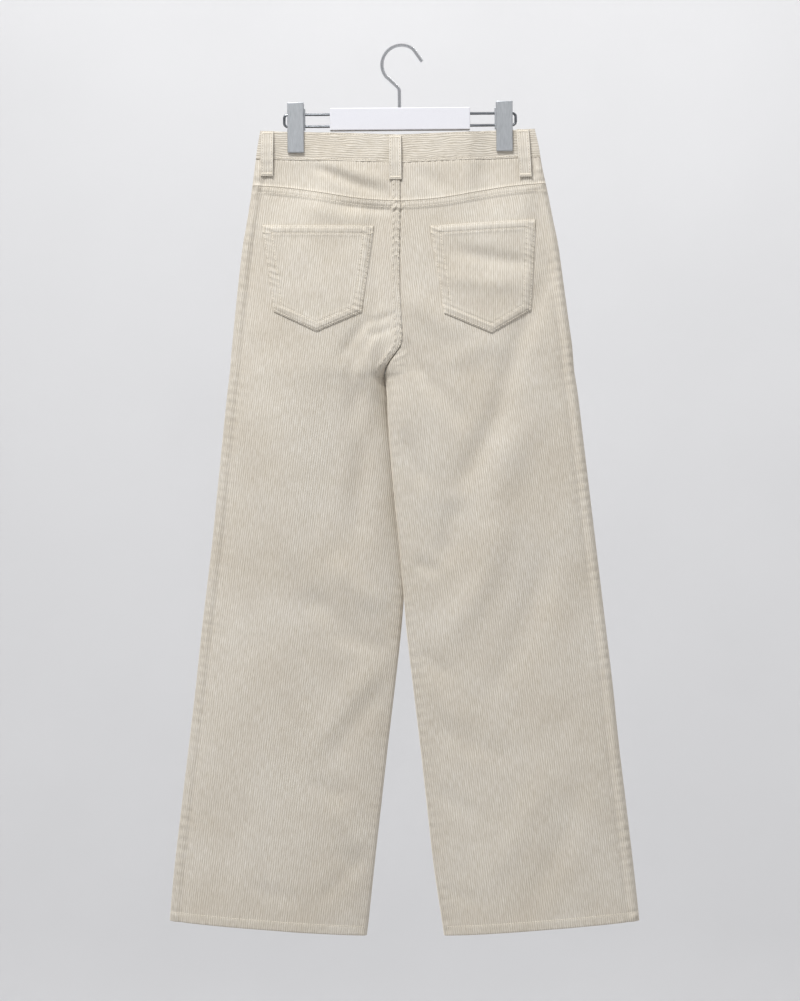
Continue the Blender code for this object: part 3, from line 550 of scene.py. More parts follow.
def sheet_mesh(name, points, cut, outward):
    """A sheet of cloth: a flat grid moved to its points, row by row. Cut gives each point's place
    in the flat cloth, u across the wales and v along them, and is kept as the UV map."""
    rows, columns = points.shape[:2]
    deselect()
    bpy.ops.mesh.primitive_grid_add(x_subdivisions=columns - 1, y_subdivisions=rows - 1, size=1,
                                    calc_uvs=False, location=(0, 0, 0))
    piece = bpy.context.object
    piece.name = piece.data.name = name
    mesh = piece.data
    flat = np.empty(len(mesh.vertices) * 3)
    mesh.vertices.foreach_get("co", flat)
    flat = flat.reshape(-1, 3)
    i = np.rint((flat[:, 0] + 0.5) * (columns - 1)).astype(int)
    j = np.rint((0.5 - flat[:, 1]) * (rows - 1)).astype(int)
    mesh.vertices.foreach_set("co", points[j, i].ravel())
    corner = np.empty(len(mesh.loops), dtype=int)
    mesh.loops.foreach_get("vertex_index", corner)
    layer = mesh.uv_layers.new(name="cut")
    layer.data.foreach_set("uv", cut[j, i][corner].ravel())
    mesh.update()
    middle = mesh.polygons[len(mesh.polygons) // 2]
    if Vector(outward).dot(middle.normal) < 0:
        mesh.flip_normals()
    return piece


def finish_wall(piece, thickness, round_edge=0.0):
    """Gives a sheet its thickness and smooth shading."""
    shape(piece, "SOLIDIFY", thickness=thickness, offset=-1, use_even_offset=False,
          use_quality_normals=True)
    if round_edge:
        shape(piece, "BEVEL", width=round_edge, segments=3, limit_method="ANGLE",
              angle_limit=math.radians(50))
    bpy.ops.object.shade_smooth_by_angle(angle=math.radians(50))


def flat_cut(points, down):
    """Where each point lay in the flat cloth. Across, it is measured along the cloth itself from
    the middle of the row, so that no wale is stretched where the cloth turns away."""
    steps = np.linalg.norm(np.diff(points, axis=1), axis=2)
    across = np.concatenate([np.zeros((len(points), 1)), np.cumsum(steps, axis=1)], axis=1)
    middle = points.shape[1] // 2
    x = points[:, middle:middle + 1, 0]
    z = points[..., 2]
    sign = np.sign(points[0, -1, 0] - points[0, 0, 0])
    u = (x + sign * (across - across[:, middle:middle + 1])) * math.cos(down) - z * math.sin(down)
    return np.stack([u, z * math.cos(down) + points[..., 0] * math.sin(down)], axis=-1)


def keep_sheet(piece, cut, node_name, rests_on, thickness=CLOTH, round_edge=0.0,
               material=None, slot="corduroy"):
    """Finishes one cut piece of the trousers, in place of its plain solid."""
    finish_wall(piece, thickness, round_edge)
    hand_over(piece, material or corduroy, node_name)


def cloth_piece(name, points, cut, outward, *kept, **finishing):
    keep_sheet(sheet_mesh(name, points, cut, outward), cut, *kept, **finishing)


def spread(start, end, step):
    """Even values from start to end, about a step apart."""
    count = max(int(round(abs(end - start) / step)), 1)
    return list(np.linspace(start, end, count + 1))


# ---------------------------------------------------------------- materials
def linear(hex_colour):
    """sRGB hex, as on a swatch, to the linear colour a shader takes."""
    parts = [int(hex_colour[k:k + 2], 16) / 255 for k in (1, 3, 5)]
    return (*[p / 12.92 if p <= 0.04045 else ((p + 0.055) / 1.055) ** 2.4 for p in parts], 1.0)


def new_material(name, **surface):
    """A surface with its constant values set; gives it, its nodes and its shader."""
    made = bpy.data.materials.new(name)
    made.use_nodes = True
    shader = made.node_tree.nodes["Principled BSDF"]
    for socket, value in surface.items():
        shader.inputs[socket.replace("_", " ").title().replace("Ior", "IOR")].default_value = value
    return made, made.node_tree, shader


def node(tree, kind, links=None, values=None, out=0, stops=(), **settings):
    """Adds a node with its settings, its inputs' values, what is linked into them and, on a colour
    ramp, its stops. Gives one of its outputs, by number or by name."""
    made = tree.nodes.new("ShaderNode" + kind)
    for key, value in settings.items():
        setattr(made, key, value)
    for key, value in (values or {}).items():
        made.inputs[key].default_value = value
    for _ in stops[2:]:
        made.color_ramp.elements.new(0.5)
    if stops:
        for element, (place, colour) in zip(made.color_ramp.elements, stops):
            element.position, element.color = place, linear(colour)
    for key, source in (links or {}).items():
        tree.links.new(source, made.inputs[key])
    return made.outputs[out]


# Cotton corduroy, 9 wales to the inch: cut pile stands in soft rounded cords over a plain ground,
# so it takes the light evenly and blooms where it turns away. Its colour has a painted shade between the
# cords and is painted lighter on their tops.
WALE = 0.0029
corduroy, tree, shader = new_material("cotton_corduroy", roughness=0.92, sheen_weight=0.85,
                                      sheen_roughness=0.30, specular_ior_level=0.18)
shader.inputs["Sheen Tint"].default_value = linear("#F4ECDD")
place = node(tree, "UVMap", uv_map="cut")
# the pile leans a little to one side and the other, so that a cord is never ruled straight
waver = node(tree, "TexNoise", {"Vector": place}, {"Scale": 55.0, "Detail": 2.0})
split = node(tree, "SeparateXYZ", {"Vector": place})
off_line = node(tree, "MapRange", {"Value": waver}, {"To Min": -0.0006, "To Max": 0.0006})
across = node(tree, "Math", {0: split, 1: off_line}, operation="ADD")
turns = node(tree, "Math", {0: across}, {1: math.pi / WALE}, operation="MULTIPLY")
wave = node(tree, "Math", {0: turns}, operation="SINE")
cord = node(tree, "Math", {0: wave}, operation="ABSOLUTE")
# tufts: the pile is cut in short lengths along each cord
stretched = node(tree, "Mapping", {"Vector": place}, {"Scale": (560.0, 85.0, 1.0)})
tufts = node(tree, "TexNoise", {"Vector": stretched}, {"Scale": 1.0, "Detail": 3.0,
                                                      "Roughness": 0.65})
lumpy = node(tree, "Math", {0: tufts, 1: cord}, operation="MULTIPLY")
pile = node(tree, "Math", {0: cord, 1: lumpy}, operation="ADD")
# where the pile is crushed the painted shade between the cords hardly shows
crushed = node(tree, "TexNoise", {"Vector": place}, {"Scale": 46.0, "Detail": 3.0})
cord_shade_showing = node(tree, "MapRange", {"Value": crushed}, {"From Min": 0.35, "From Max": 0.65,
                                                     "To Min": 0.45, "To Max": 1.0})
# painted shade: the colour goes darker in the grooves between the cords and is painted lighter on their
# tops
cord_shade_colour = node(tree, "ValToRGB", {"Fac": cord},
              stops=((0.0, "#BBB3A3"), (0.42, "#DBD5CA"), (1.0, "#E8E3DA")))
fleck = node(tree, "ValToRGB", {"Fac": tufts}, stops=((0.28, "#D2CCC0"), (0.72, "#FFFFFF")))
cord_shaded = node(tree, "MixRGB", {"Fac": cord_shade_showing, "Color2": cord_shade_colour},
                {"Color1": linear("#DBD5CB")})
flecked = node(tree, "MixRGB", {"Color1": cord_shaded, "Color2": fleck}, {"Fac": 0.62},
               blend_type="MULTIPLY")
# the nap lies unevenly: broad, faint lighter and darker patches
patches = node(tree, "TexNoise", {"Vector": place}, {"Scale": 11.0, "Detail": 3.0})
shade = node(tree, "ValToRGB", {"Fac": patches}, stops=((0.30, "#F2EFEA"), (0.70, "#FFFFFF")))
napped = node(tree, "MixRGB", {"Color1": flecked, "Color2": shade}, {"Fac": 0.8},
              blend_type="MULTIPLY")
tree.links.new(napped, shader.inputs["Base Color"])
relief = node(tree, "Bump", {"Height": pile}, {"Strength": 0.48, "Distance": 0.0005})
tree.links.new(relief, shader.inputs["Normal"])

# Spun polyester topstitching thread: two plies twisted together, slightly brighter than the cloth
thread, tree, shader = new_material("spun_thread", roughness=0.7, sheen_weight=0.2,
                                    specular_ior_level=0.3)
place = node(tree, "TexCoord", out="Object")
twist = node(tree, "TexWave", {"Vector": place}, {"Scale": 420.0, "Distortion": 1.5},
             bands_direction="DIAGONAL")
colour = node(tree, "ValToRGB", {"Fac": twist}, stops=((0.2, "#D8CFBE"), (0.8, "#F2EBDD")))
tree.links.new(colour, shader.inputs["Base Color"])

# Woven polyester zip tape: a tight flat weave with a dull shine
tape, tree, shader = new_material("woven_tape", roughness=0.75, specular_ior_level=0.35)
place = node(tree, "TexCoord", out="Object")
weave = node(tree, "TexChecker", {"Vector": place}, {"Scale": 1400.0}, out="Fac")
colour = node(tree, "ValToRGB", {"Fac": weave}, stops=((0.0, "#CFC6B6"), (1.0, "#DDD5C6")))
tree.links.new(colour, shader.inputs["Base Color"])

# Cast and tumbled brass: warm, its high spots polished and its hollows duller
brass, tree, shader = new_material("tumbled_brass", metallic=1.0)
place = node(tree, "TexCoord", out="Object")
wear = node(tree, "TexNoise", {"Vector": place}, {"Scale": 700.0, "Detail": 3.0})
colour = node(tree, "ValToRGB", {"Fac": wear}, stops=((0.3, "#A38A55"), (0.7, "#C9B17A")))
tree.links.new(colour, shader.inputs["Base Color"])
rough = node(tree, "MapRange", {"Value": wear}, {"To Min": 0.28, "To Max": 0.5})
tree.links.new(rough, shader.inputs["Roughness"])

# Cast polyester imitating horn: streaks in the resin under a polished face
horn, tree, shader = new_material("horn_resin", roughness=0.28, ior=1.55)
place = node(tree, "TexCoord", out="Object")
streaks = node(tree, "Mapping", {"Vector": place}, {"Scale": (160.0, 160.0, 620.0),
                                                    "Rotation": (0.0, 0.5, 0.0)})
figure = node(tree, "TexNoise", {"Vector": streaks}, {"Scale": 1.0, "Detail": 4.0,
                                                     "Distortion": 0.6})
colour = node(tree, "ValToRGB", {"Fac": figure},
              stops=((0.30, "#8E7C62"), (0.55, "#B7A688"), (0.75, "#D8CBB0")))
tree.links.new(colour, shader.inputs["Base Color"])

# Injection-moulded white ABS: even and cool, with a faint moulding grain in its satin shine
white_plastic, tree, shader = new_material("moulded_abs", ior=1.5)
place = node(tree, "TexCoord", out="Object")
grain = node(tree, "TexNoise", {"Vector": place}, {"Scale": 1200.0, "Detail": 2.0})
colour = node(tree, "ValToRGB", {"Fac": grain}, stops=((0.2, "#DADADF"), (0.8, "#E2E2E7")))
tree.links.new(colour, shader.inputs["Base Color"])
rough = node(tree, "MapRange", {"Value": grain}, {"To Min": 0.30, "To Max": 0.42})
tree.links.new(rough, shader.inputs["Roughness"])
skin = node(tree, "Bump", {"Height": grain}, {"Strength": 0.15, "Distance": 0.00005})
tree.links.new(skin, shader.inputs["Normal"])

# Chromed steel wire: a hard bright mirror with fine drawing lines
chrome, tree, shader = new_material("chromed_wire", metallic=1.0)
place = node(tree, "TexCoord", out="Object")
drawn = node(tree, "TexNoise", {"Vector": place}, {"Scale": 900.0, "Detail": 2.0})
colour = node(tree, "ValToRGB", {"Fac": drawn}, stops=((0.3, "#BFC1C4"), (0.7, "#DEDFE1")))
tree.links.new(colour, shader.inputs["Base Color"])
rough = node(tree, "MapRange", {"Value": drawn}, {"To Min": 0.08, "To Max": 0.20})
tree.links.new(rough, shader.inputs["Roughness"])

# Bright-drawn spring steel wire with fine drawing lines: a darker metal than the chrome, and its dark base
# colour is also a painted dark reflection
spring_steel, tree, shader = new_material("spring_steel", metallic=1.0, roughness=0.22)
place = node(tree, "TexCoord", out="Object")
lined = node(tree, "Mapping", {"Vector": place}, {"Scale": (60.0, 2600.0, 2600.0)})
drawn = node(tree, "TexNoise", {"Vector": lined}, {"Scale": 1.0, "Detail": 2.0})
# painted dark reflection: the base colour is kept dark so that the wires look as dark as their reflections
colour = node(tree, "ValToRGB", {"Fac": drawn}, stops=((0.3, "#5F6266"), (0.7, "#9C9FA3")))
tree.links.new(colour, shader.inputs["Base Color"])

# Satin nickel-plated pressed steel: a soft grey metal, brushed up and down the jaw
satin_steel, tree, shader = new_material("satin_nickel", metallic=1.0)
place = node(tree, "TexCoord", out="Object")
brushed = node(tree, "Mapping", {"Vector": place}, {"Scale": (3200.0, 3200.0, 120.0)})
lines = node(tree, "TexNoise", {"Vector": brushed}, {"Scale": 1.0, "Detail": 3.0})
colour = node(tree, "ValToRGB", {"Fac": lines}, stops=((0.3, "#AEB2B5"), (0.7, "#CACDD0")))
tree.links.new(colour, shader.inputs["Base Color"])
rough = node(tree, "MapRange", {"Value": lines}, {"To Min": 0.38, "To Max": 0.52})
tree.links.new(rough, shader.inputs["Roughness"])
scratch = node(tree, "Bump", {"Height": lines}, {"Strength": 0.2, "Distance": 0.00005})
tree.links.new(scratch, shader.inputs["Normal"])

# Matt photographic paper: pale and even, with the slightest unevenness
paper, tree, shader = new_material("backdrop_paper", roughness=0.95, specular_ior_level=0.1)
place = node(tree, "TexCoord", out="Object")
fibre = node(tree, "TexNoise", {"Vector": place}, {"Scale": 1.5, "Detail": 2.0})
colour = node(tree, "ValToRGB", {"Fac": fibre}, stops=((0.3, "#D7D7D8"), (0.7, "#DADADB")))
tree.links.new(colour, shader.inputs["Base Color"])

# ---------------------------------------------------------------- legs and yokes
# Across a panel the points lie close together where the seam allowances are, and down it evenly
NEAR_EDGE = [0.0, 0.0012, 0.0035, 0.007, 0.012, 0.018, 0.025, 0.033, 0.041, 0.048, 0.055, 0.062,
             0.070, 0.080]
ACROSS = np.array(NEAR_EDGE + spread(0.096, 0.904, 0.0165) + [1 - s for s in NEAR_EDGE[::-1]])
ROW = 0.0036            # between two rows of points down a panel
HEM_REACH = 0.0338      # the even rows stop this far above the hem's edge
FELL_ROWS, FELL_ROW = 12, 0.0012    # close rows where a felled seam's band stands up


def panel_rows(top, foot):
    """Heights down a panel for every place across, from its top seam to its foot."""
    count = int(round((top.side - foot.side) / ROW))
    share = np.linspace(0.0, 1.0, count + 1)[:, None]
    return height_at(top, ACROSS)[None] * (1 - share) + height_at(foot, ACROSS)[None] * share


def hem_rows():
    """Extra rows near the foot, where the hem's band and its rolled edge are."""
    above = np.array([0.0300, 0.0262, 0.0228, 0.0198, 0.0172, 0.0152, 0.0138, 0.0128, 0.0120,
                      0.0110, 0.0095, 0.0080, 0.0064, 0.0048, 0.0034, 0.0022, 0.0014, 0.0007,
                      0.0003, 0.0])
    return height_at(HEM_EDGE, ACROSS)[None] + above[:, None]


def sewn_rows(seam):
    """Close rows below a felled seam."""
    return seam[None] - GAP - FELL_ROW * np.arange(FELL_ROWS)[:, None]


def leg_panel(leg, face):
    """A back leg, from its yoke, or a front leg, from the waistband, down to the hem."""
    if face < 0:
        top, node_name = sewn_rows(yoke_height(ACROSS)), "back_" + leg
    else:
        top = height_at(WAIST_SEAM, ACROSS)[None] - GAP - np.array([[0.0], [0.0015], [0.0035]])
        node_name = "front_" + leg
    start = Line(float(top[-1, 0]) - ROW, float(top[-1, -1]) - ROW)
    foot = Line(HEM_EDGE.side + HEM_REACH, HEM_EDGE.middle + HEM_REACH)
    z = np.concatenate([top, panel_rows(start, foot), hem_rows()])
    s = np.broadcast_to(ACROSS, z.shape)
    lapped = fly_open(z) * (face > 0 and leg == "left")
    across = s * (1 + lapped * FLY_LAP / HALF_WAIST)
    folded = np.minimum(across, 2 - across)
    if face > 0:    # the lap's end keeps the heights of the waist seam on both sides of the middle
        z = z + (height_at(WAIST_SEAM, folded) - height_at(WAIST_SEAM, s)) * smooth((z + 0.30) / 0.1)
    points = cloth_form(leg, face, s, z)
    cut = flat_cut(points, inward(leg) * GRAIN)
    cloth_piece("cloth_" + node_name, points, cut, (0, face, 0), node_name, ["waistband"])


def yoke_panel(leg):
    """The shaped strip between the waistband and the yoke seam."""
    top, foot = height_at(WAIST_SEAM, ACROSS)[None] - GAP, yoke_height(ACROSS)[None] + GAP
    share = np.array([0.0, 0.04, 0.1] + spread(0.17, 0.86, 0.07) + [0.92, 0.96, 1.0])[:, None]
    z = top * (1 - share) + foot * share
    points = cloth_form(leg, -1, np.broadcast_to(ACROSS, z.shape), z)
    cut = flat_cut(points, 0.0)
    cloth_piece("cloth_yoke_" + leg, points, cut, (0, -1, 0), "yoke_" + leg, ["waistband"])


def hem_turning(leg):
    """The turned-up cloth inside a leg's foot, a closed ring a layer inside the panels."""
    inset = CLOTH + GAP + 0.0004
    inside = np.array([s for s in ACROSS if 0.004 < s < 0.996])
    over_edge = np.array([0.0120, 0.0090, 0.0060, 0.0035, 0.0018, 0.0008, 0.0002])[:, None]
    halves = []
    for face in (-1, 1):
        z = height_at(HEM_EDGE, inside)[None] + over_edge
        half = cloth_form(leg, face, np.broadcast_to(inside, z.shape), z, inset, relief=False)
        halves.append(half if face < 0 else half[:, ::-1])
    points = np.concatenate(halves + [halves[0][:, :1]], axis=1)
    steps = np.linalg.norm(np.diff(points, axis=1), axis=2)
    around = np.concatenate([np.zeros((len(points), 1)), np.cumsum(steps, axis=1)], axis=1)
    cut = np.stack([around, points[..., 2]], axis=-1)
    piece = sheet_mesh("cloth_hem_" + leg, points, cut, (0, -1, 0))
    pick(piece)
    bpy.ops.object.mode_set(mode="EDIT")
    bpy.ops.mesh.select_all(action="SELECT")
    bpy.ops.mesh.remove_doubles(threshold=1e-5)
    bpy.ops.mesh.normals_make_consistent(inside=False)
    bpy.ops.object.mode_set(mode="OBJECT")
    keep_sheet(piece, cut, "hem_" + leg, ["cloth_back_" + leg, "cloth_front_" + leg])


for leg in ("left", "right"):
    leg_panel(leg, -1)
    leg_panel(leg, 1)
    yoke_panel(leg)
    hem_turning(leg)


# ---------------------------------------------------------------- pockets
def pocket_place(corners, a, b):
    """Point of a pocket at shares a across and b down, inside its five-cornered outline."""
    top_left, top_right, low_right, point, low_left = [np.array(c) for c in corners]
    bend = (point[0] - low_left[0]) / (low_right[0] - low_left[0])
    top = top_left + (top_right - top_left) * a[..., None]
    before = low_left + (point - low_left) * (a / bend)[..., None]
    beyond = point + (low_right - point) * ((a - bend) / (1 - bend))[..., None]
    foot = np.where((a < bend)[..., None], before, beyond)
    # the sides run straight between their own corners
    sides = top + (foot - top) * b[..., None]
    return sides[..., 0], sides[..., 1]


def edge_distance(corners, x, z):
    """Distance in from the nearest side of an outline, and from its mouth."""
    nearest = np.full(x.shape, 1.0)
    points = [Vector(c) for c in corners]
    for k, (start, end) in enumerate(zip(points, points[1:] + points[:1])):
        run = (end - start).normalized()
        away = (x - start.x) * -run.y + (z - start.y) * run.x
        if k == 0:
            mouth = abs(away)
        else:
            nearest = np.minimum(nearest, abs(away))
    return nearest, mouth


POCKET_LIFT = CLOTH + 2 * GAP   # outer side of a pocket, from the leg it is sewn on


def pocket_lift(corners, x, z):
    """The turned edges and the hem are double; the middle settles a little."""
    edge, mouth = edge_distance(corners, x, z)
    near = np.minimum(edge, mouth)
    lift = POCKET_LIFT + 0.0010 * (1 - smooth((near - 0.0115) / 0.0040))
    lift += 0.00065 * puckers(x * 0.4 + z, 0.0078, 91) * band(edge, 0.001, 0.0115, 0.005)
    lift += 0.00065 * puckers(x, 0.0082, 93) * band(mouth, 0.001, 0.0115, 0.005)
    for row in (STITCH_IN + 0.0006, STITCH_IN + STITCH_APART):
        lift -= 0.00080 * ridge(near - row, 0.0013)
    lift += 0.0008 * undulation(x * 1.3, z * 1.3, 17) * smooth((near - 0.010) / 0.02)
    return lift - 0.0018 * (1 - smooth(near / 0.0028))


def pocket(leg):
    """A patch pocket, made from the points of the leg it is sewn on."""
    corners = POCKETS[leg]
    dense = [0.0, 0.004, 0.009, 0.015, 0.021, 0.028, 0.036, 0.045, 0.054, 0.063, 0.070, 0.077, 0.084,
             0.092, 0.102]
    shares = np.array(dense + spread(0.118, 0.882, 0.018) + [1 - d for d in dense[::-1]])
    a, b = np.meshgrid(shares, shares)
    x, z = pocket_place(corners, a, b)
    points = on_cloth(-1, x, z, pocket_lift(corners, x, z))
    turned = POCKET_GRAIN[leg]
    cut = np.stack([x * math.cos(turned) - z * math.sin(turned),
                    z * math.cos(turned) + x * math.sin(turned)], axis=-1)
    cloth_piece("cloth_pocket_" + leg, points, cut, (0, -1, 0), "pocket_" + leg,
                ["cloth_back_" + leg], thickness=0.0014)


for leg in POCKETS:
    pocket(leg)


# ---------------------------------------------------------------- waistband and loops
def band_place(leg, face, s, row, raised=0.0):
    """Outer side of the waistband: share s from the side seam, row 0 at its top and 1 at its foot."""
    across = np.minimum(s, 2 - s)
    top = WAIST_TOP if face < 0 else WAIST_TOP_FRONT
    z = height_at(top, across) * (1 - row) + height_at(WAIST_SEAM, across) * row
    outer, inner = edges(leg, z)
    x = outer + (inner - outer) * s
    half = EDGE_HALF + (read_level("depth", z) - EDGE_HALF) * bulge(s, z)
    held = pinch(x, z)
    half += (PINCH_HALF - half) * held + raised * BAND_LIFT
    half += 0.00045 * undulation(x * 1.6, z * 2.0, 7 + face) * (1 - held) * smooth(s / 0.1)
    half += 0.00040 * undulation(x * 4.0, z * 11.0, 31 + face) * (1 - held) * smooth(s / 0.1)
    for sewn in (0.055, 0.945):
        half -= 0.00045 * ridge(row - sewn, 0.030) * (1 - held)
    half += 0.00035 * puckers(x, 0.0085, 33 + face) * (1 - held) * smooth((row - 0.7) / 0.2)
    return np.stack([x, face * half, z + x * math.tan(TILT)], axis=-1)


def waistband():
    """One strip: from under the lap round by the right side, the back and the left side, to end
    on its own start."""
    inside = np.array([0.0015, 0.006, 0.014] + spread(0.025, 0.985, 0.0085) + [0.997])
    under = 1.0 + np.array(spread(UNDERLAP / HALF_WAIST, 0.012, 0.012))
    over = np.array([s for s in inside if s < 0.985] + [0.993, 1.0, 1.0 + FLY_LAP / HALF_WAIST])
    rows = np.array([0.0, 0.02, 0.055, 0.09] + spread(0.13, 0.87, 0.05)
                    + [0.91, 0.945, 0.98, 1.0])[:, None]

    def part(leg, face, s, raised=0.0):
        s, row = np.broadcast_arrays(s[None], rows)
        return band_place(leg, face, s, row, raised)

    points = np.concatenate([
        part("right", 1, np.concatenate([under, inside[::-1]])), part("right", -1, inside),
        part("left", -1, inside[::-1]), part("left", 1, over, smooth((over[None] - 0.70) / 0.11)),
    ], axis=1)
    steps = np.linalg.norm(np.diff(points, axis=1), axis=2).mean(axis=0)
    along = np.concatenate([[0.0], np.cumsum(steps)])
    down = rows * (WAIST_TOP.side - WAIST_SEAM.side)
    down, along = np.broadcast_arrays(down, along[None])
    down = down + 0.0016 * undulation(down * 6.0, along * 8.0, 23)
    cut = np.stack([down, along], axis=-1)
    piece = sheet_mesh("cloth_waistband", points, cut, (0, 0, 0))
    # the middle face of the strip is at the left side seam's back: it has to look outwards
    middle = piece.data.polygons[len(piece.data.polygons) // 2]
    if middle.center.y * middle.normal.y < 0:
        piece.data.flip_normals()
    keep_sheet(piece, cut, "waistband", ["clip_left_back_jaw", "clip_right_back_jaw"], BAND_CLOTH,
               round_edge=0.0011)


def belt_loop(name, loop):
    """A folded strip that stands off the waistband between its two sewn ends."""
    across = np.array([-0.5, -0.46, -0.40, -0.30, -0.20, -0.10, 0.0, 0.10, 0.20, 0.30, 0.40, 0.46,
                       0.5])[None]
    share = np.array([0.0, 0.02] + spread(0.05, 0.95, 0.03) + [0.98, 1.0])[:, None]
    stand_off = np.interp(share, *zip(*LOOP_STAND_OFF))
    z = loop.z_top + (loop.z_foot - loop.z_top) * share
    x = loop.x_top + (loop.x_foot - loop.x_top) * share + across * LOOP_WIDTH
    z = np.broadcast_to(z, x.shape)
    leg = "left" if loop.x_top < 0 else "right"
    s = share_across(leg, x, z)
    plain = cloth_form(leg, loop.face, s, z, relief=False)
    # the loop stands straight across, on the highest part of what it lies over
    under = plain[..., 1] * loop.face
    half = under.max(axis=1, keepdims=True) * 0.5 + under * 0.5
    edge = 0.5 - abs(across)
    crown = 0.00035 * band(edge, 0.0, 0.13, 0.06) - 0.0005 * ridge(edge - 0.12, 0.03)
    wander = 0.00022 * puckers(share * LOOP_LONG, 0.0110, 60 + int(abs(loop.x_top) * 1000))
    half = half + stand_off + LOOP_CLOTH + crown + wander
    points = np.stack([x, loop.face * half, z + x * math.tan(TILT)], axis=-1)
    cut = np.stack(np.broadcast_arrays(across * LOOP_WIDTH, -share * LOOP_LONG), axis=-1)
    cloth_piece("cloth_loop_" + name, points, cut, (0, loop.face, 0), "loop_" + name,
                ["cloth_waistband"], thickness=LOOP_CLOTH, round_edge=0.0006)


waistband()
for name, loop in LOOPS.items():
    belt_loop(name, loop)


# ---------------------------------------------------------------- behind the fly
def fly_strip(name, x_from, x_to, z_foot, inset, node_name, thickness, **kept):
    """A straight strip lying behind the lap, on the right front leg."""
    x = np.array(spread(x_from, x_to, 0.002))[None]
    z = np.array(spread(FLY_TOP, z_foot, 0.004))[:, None]
    x, z = np.broadcast_arrays(x, z)
    half = cloth_form("right", 1, UNDER_LAP, z, relief=False)[..., 1] - inset
    points = np.stack([x, half, z + x * math.tan(TILT)], axis=-1)
    cloth_piece(name, points, np.stack([x, z], axis=-1), (0, 1, 0), node_name,
                ["cloth_front_right"], thickness, **kept)


fly_strip("cloth_fly_shield", -0.036, 0.012, -0.325, SHIELD_INSET, "fly_shield", CLOTH)
fly_strip("cloth_zip_tape", -0.018, 0.008, -0.318, TAPE_INSET, "zip_tape", TAPE_THICK,
          material=tape, slot="zip_tape")


# ---------------------------------------------------------------- stitching
def one_stitch():
    """A single stitch of unit length along X, lying on the XY plane: a bead with pulled-in ends."""
    deselect()
    bpy.ops.mesh.primitive_uv_sphere_add(segments=6, ring_count=5, radius=0.5,
                                         rotation=(0, math.radians(90), 0))
    bpy.ops.object.transform_apply(location=True, rotation=True, scale=True)
    return mesh_of(bpy.context.object)


BEAD, BEAD_FACES = one_stitch()


def resample(path, pitch):
    """Evenly spaced points along a path of points."""
    steps = np.linalg.norm(np.diff(path, axis=0), axis=1)
    along = np.concatenate([[0.0], np.cumsum(steps)])
    count = max(int(along[-1] / pitch), 1)
    middles = (np.arange(count) + 0.5) * along[-1] / count
    return np.stack([np.interp(middles, along, path[:, k]) for k in range(3)], axis=1)


def sew(name, paths, length=STITCH, pitch=STITCH_PITCH):
    """Rows of stitches as one joined mesh. Each path is its face and its points on the cloth."""
    stitches = []
    random = np.random.default_rng(len(name))
    for face, path in paths:
        middles = resample(path, pitch)
        if len(middles) > 1:
            before = np.vstack([middles[:1] * 2 - middles[1:2], middles[:-1]])
            after = np.vstack([middles[1:], middles[-1:] * 2 - middles[-2:-1]])
        else:
            before, after = middles - (path[-1] - path[0]), middles + (path[-1] - path[0])
        for middle, a, b in zip(middles, before, after):
            along = (b - a) / np.linalg.norm(b - a)
            along = along + random.normal(0, 0.035, 3) * np.array((1, 0.2, 1))
            along /= np.linalg.norm(along)
            out = np.array((0.0, face, 0.0)) - along * along[1] * face
            out /= np.linalg.norm(out)
            side = np.cross(out, along)
            size = np.array((length, THREAD * random.uniform(0.9, 1.1), THREAD * 0.8))
            placed = (BEAD * size) @ np.stack([along, side, out])
            stitches.append(placed + middle + out * THREAD_LIFT)
    piece = joined(name, stitches, BEAD_FACES)
    piece.data.shade_smooth()
    hand_over(piece, thread)


def along_cloth(leg, face, s, z):
    """A path for a row of stitches along one half of the cloth."""
    return face, cloth_form(leg, face, np.asarray(s, float), np.asarray(z, float))


def sew_yokes():
    """Two rows on the felled band under the yoke seam."""
    rows = []
    for leg in ("left", "right"):
        s = np.linspace(0.03, 0.992, 160)
        for below in YOKE_ROWS:
            rows.append(along_cloth(leg, -1, s, yoke_height(s) - below))
    sew("stitches_yokes", rows)


def sew_seat():
    """Two rows on the felled seat seam, on the left half only, from the waist to the fork."""
    rows = []
    z = np.linspace(-0.1560, -0.4150, 220)
    outer, inner = edges("left", z)
    for from_seam in SEAT_ROWS:
        rows.append(along_cloth("left", -1, 1 - from_seam / abs(inner - outer), z))
    sew("stitches_seat", rows)


def sew_front():
    """The fly's curved topstitching, two rows, and the seam below it."""
    rows = []
    for apart in (0.0, 0.0064):
        down = np.linspace(-0.1560, -0.2500, 60)
        x_line = -0.0390 - apart + 0 * down
        angles = np.linspace(0.0, math.radians(78), 30)
        radius = 0.0370 + apart
        curve_x = x_line[-1] + radius * (1 - np.cos(angles))
        curve_z = down[-1] - radius * 1.25 * np.sin(angles)
        x, z = np.concatenate([x_line, curve_x]), np.concatenate([down, curve_z])
        rows.append((1, cloth_form("left", 1, share_across("left", x, z) /
                                   (1 + fly_open(z) * FLY_LAP / HALF_WAIST), z)))
    z = np.linspace(-0.3080, -0.4150, 90)
    outer, inner = edges("left", z)
    rows.append(along_cloth("left", 1, 1 - 0.0018 / abs(inner - outer), z))
    sew("stitches_fly", rows)


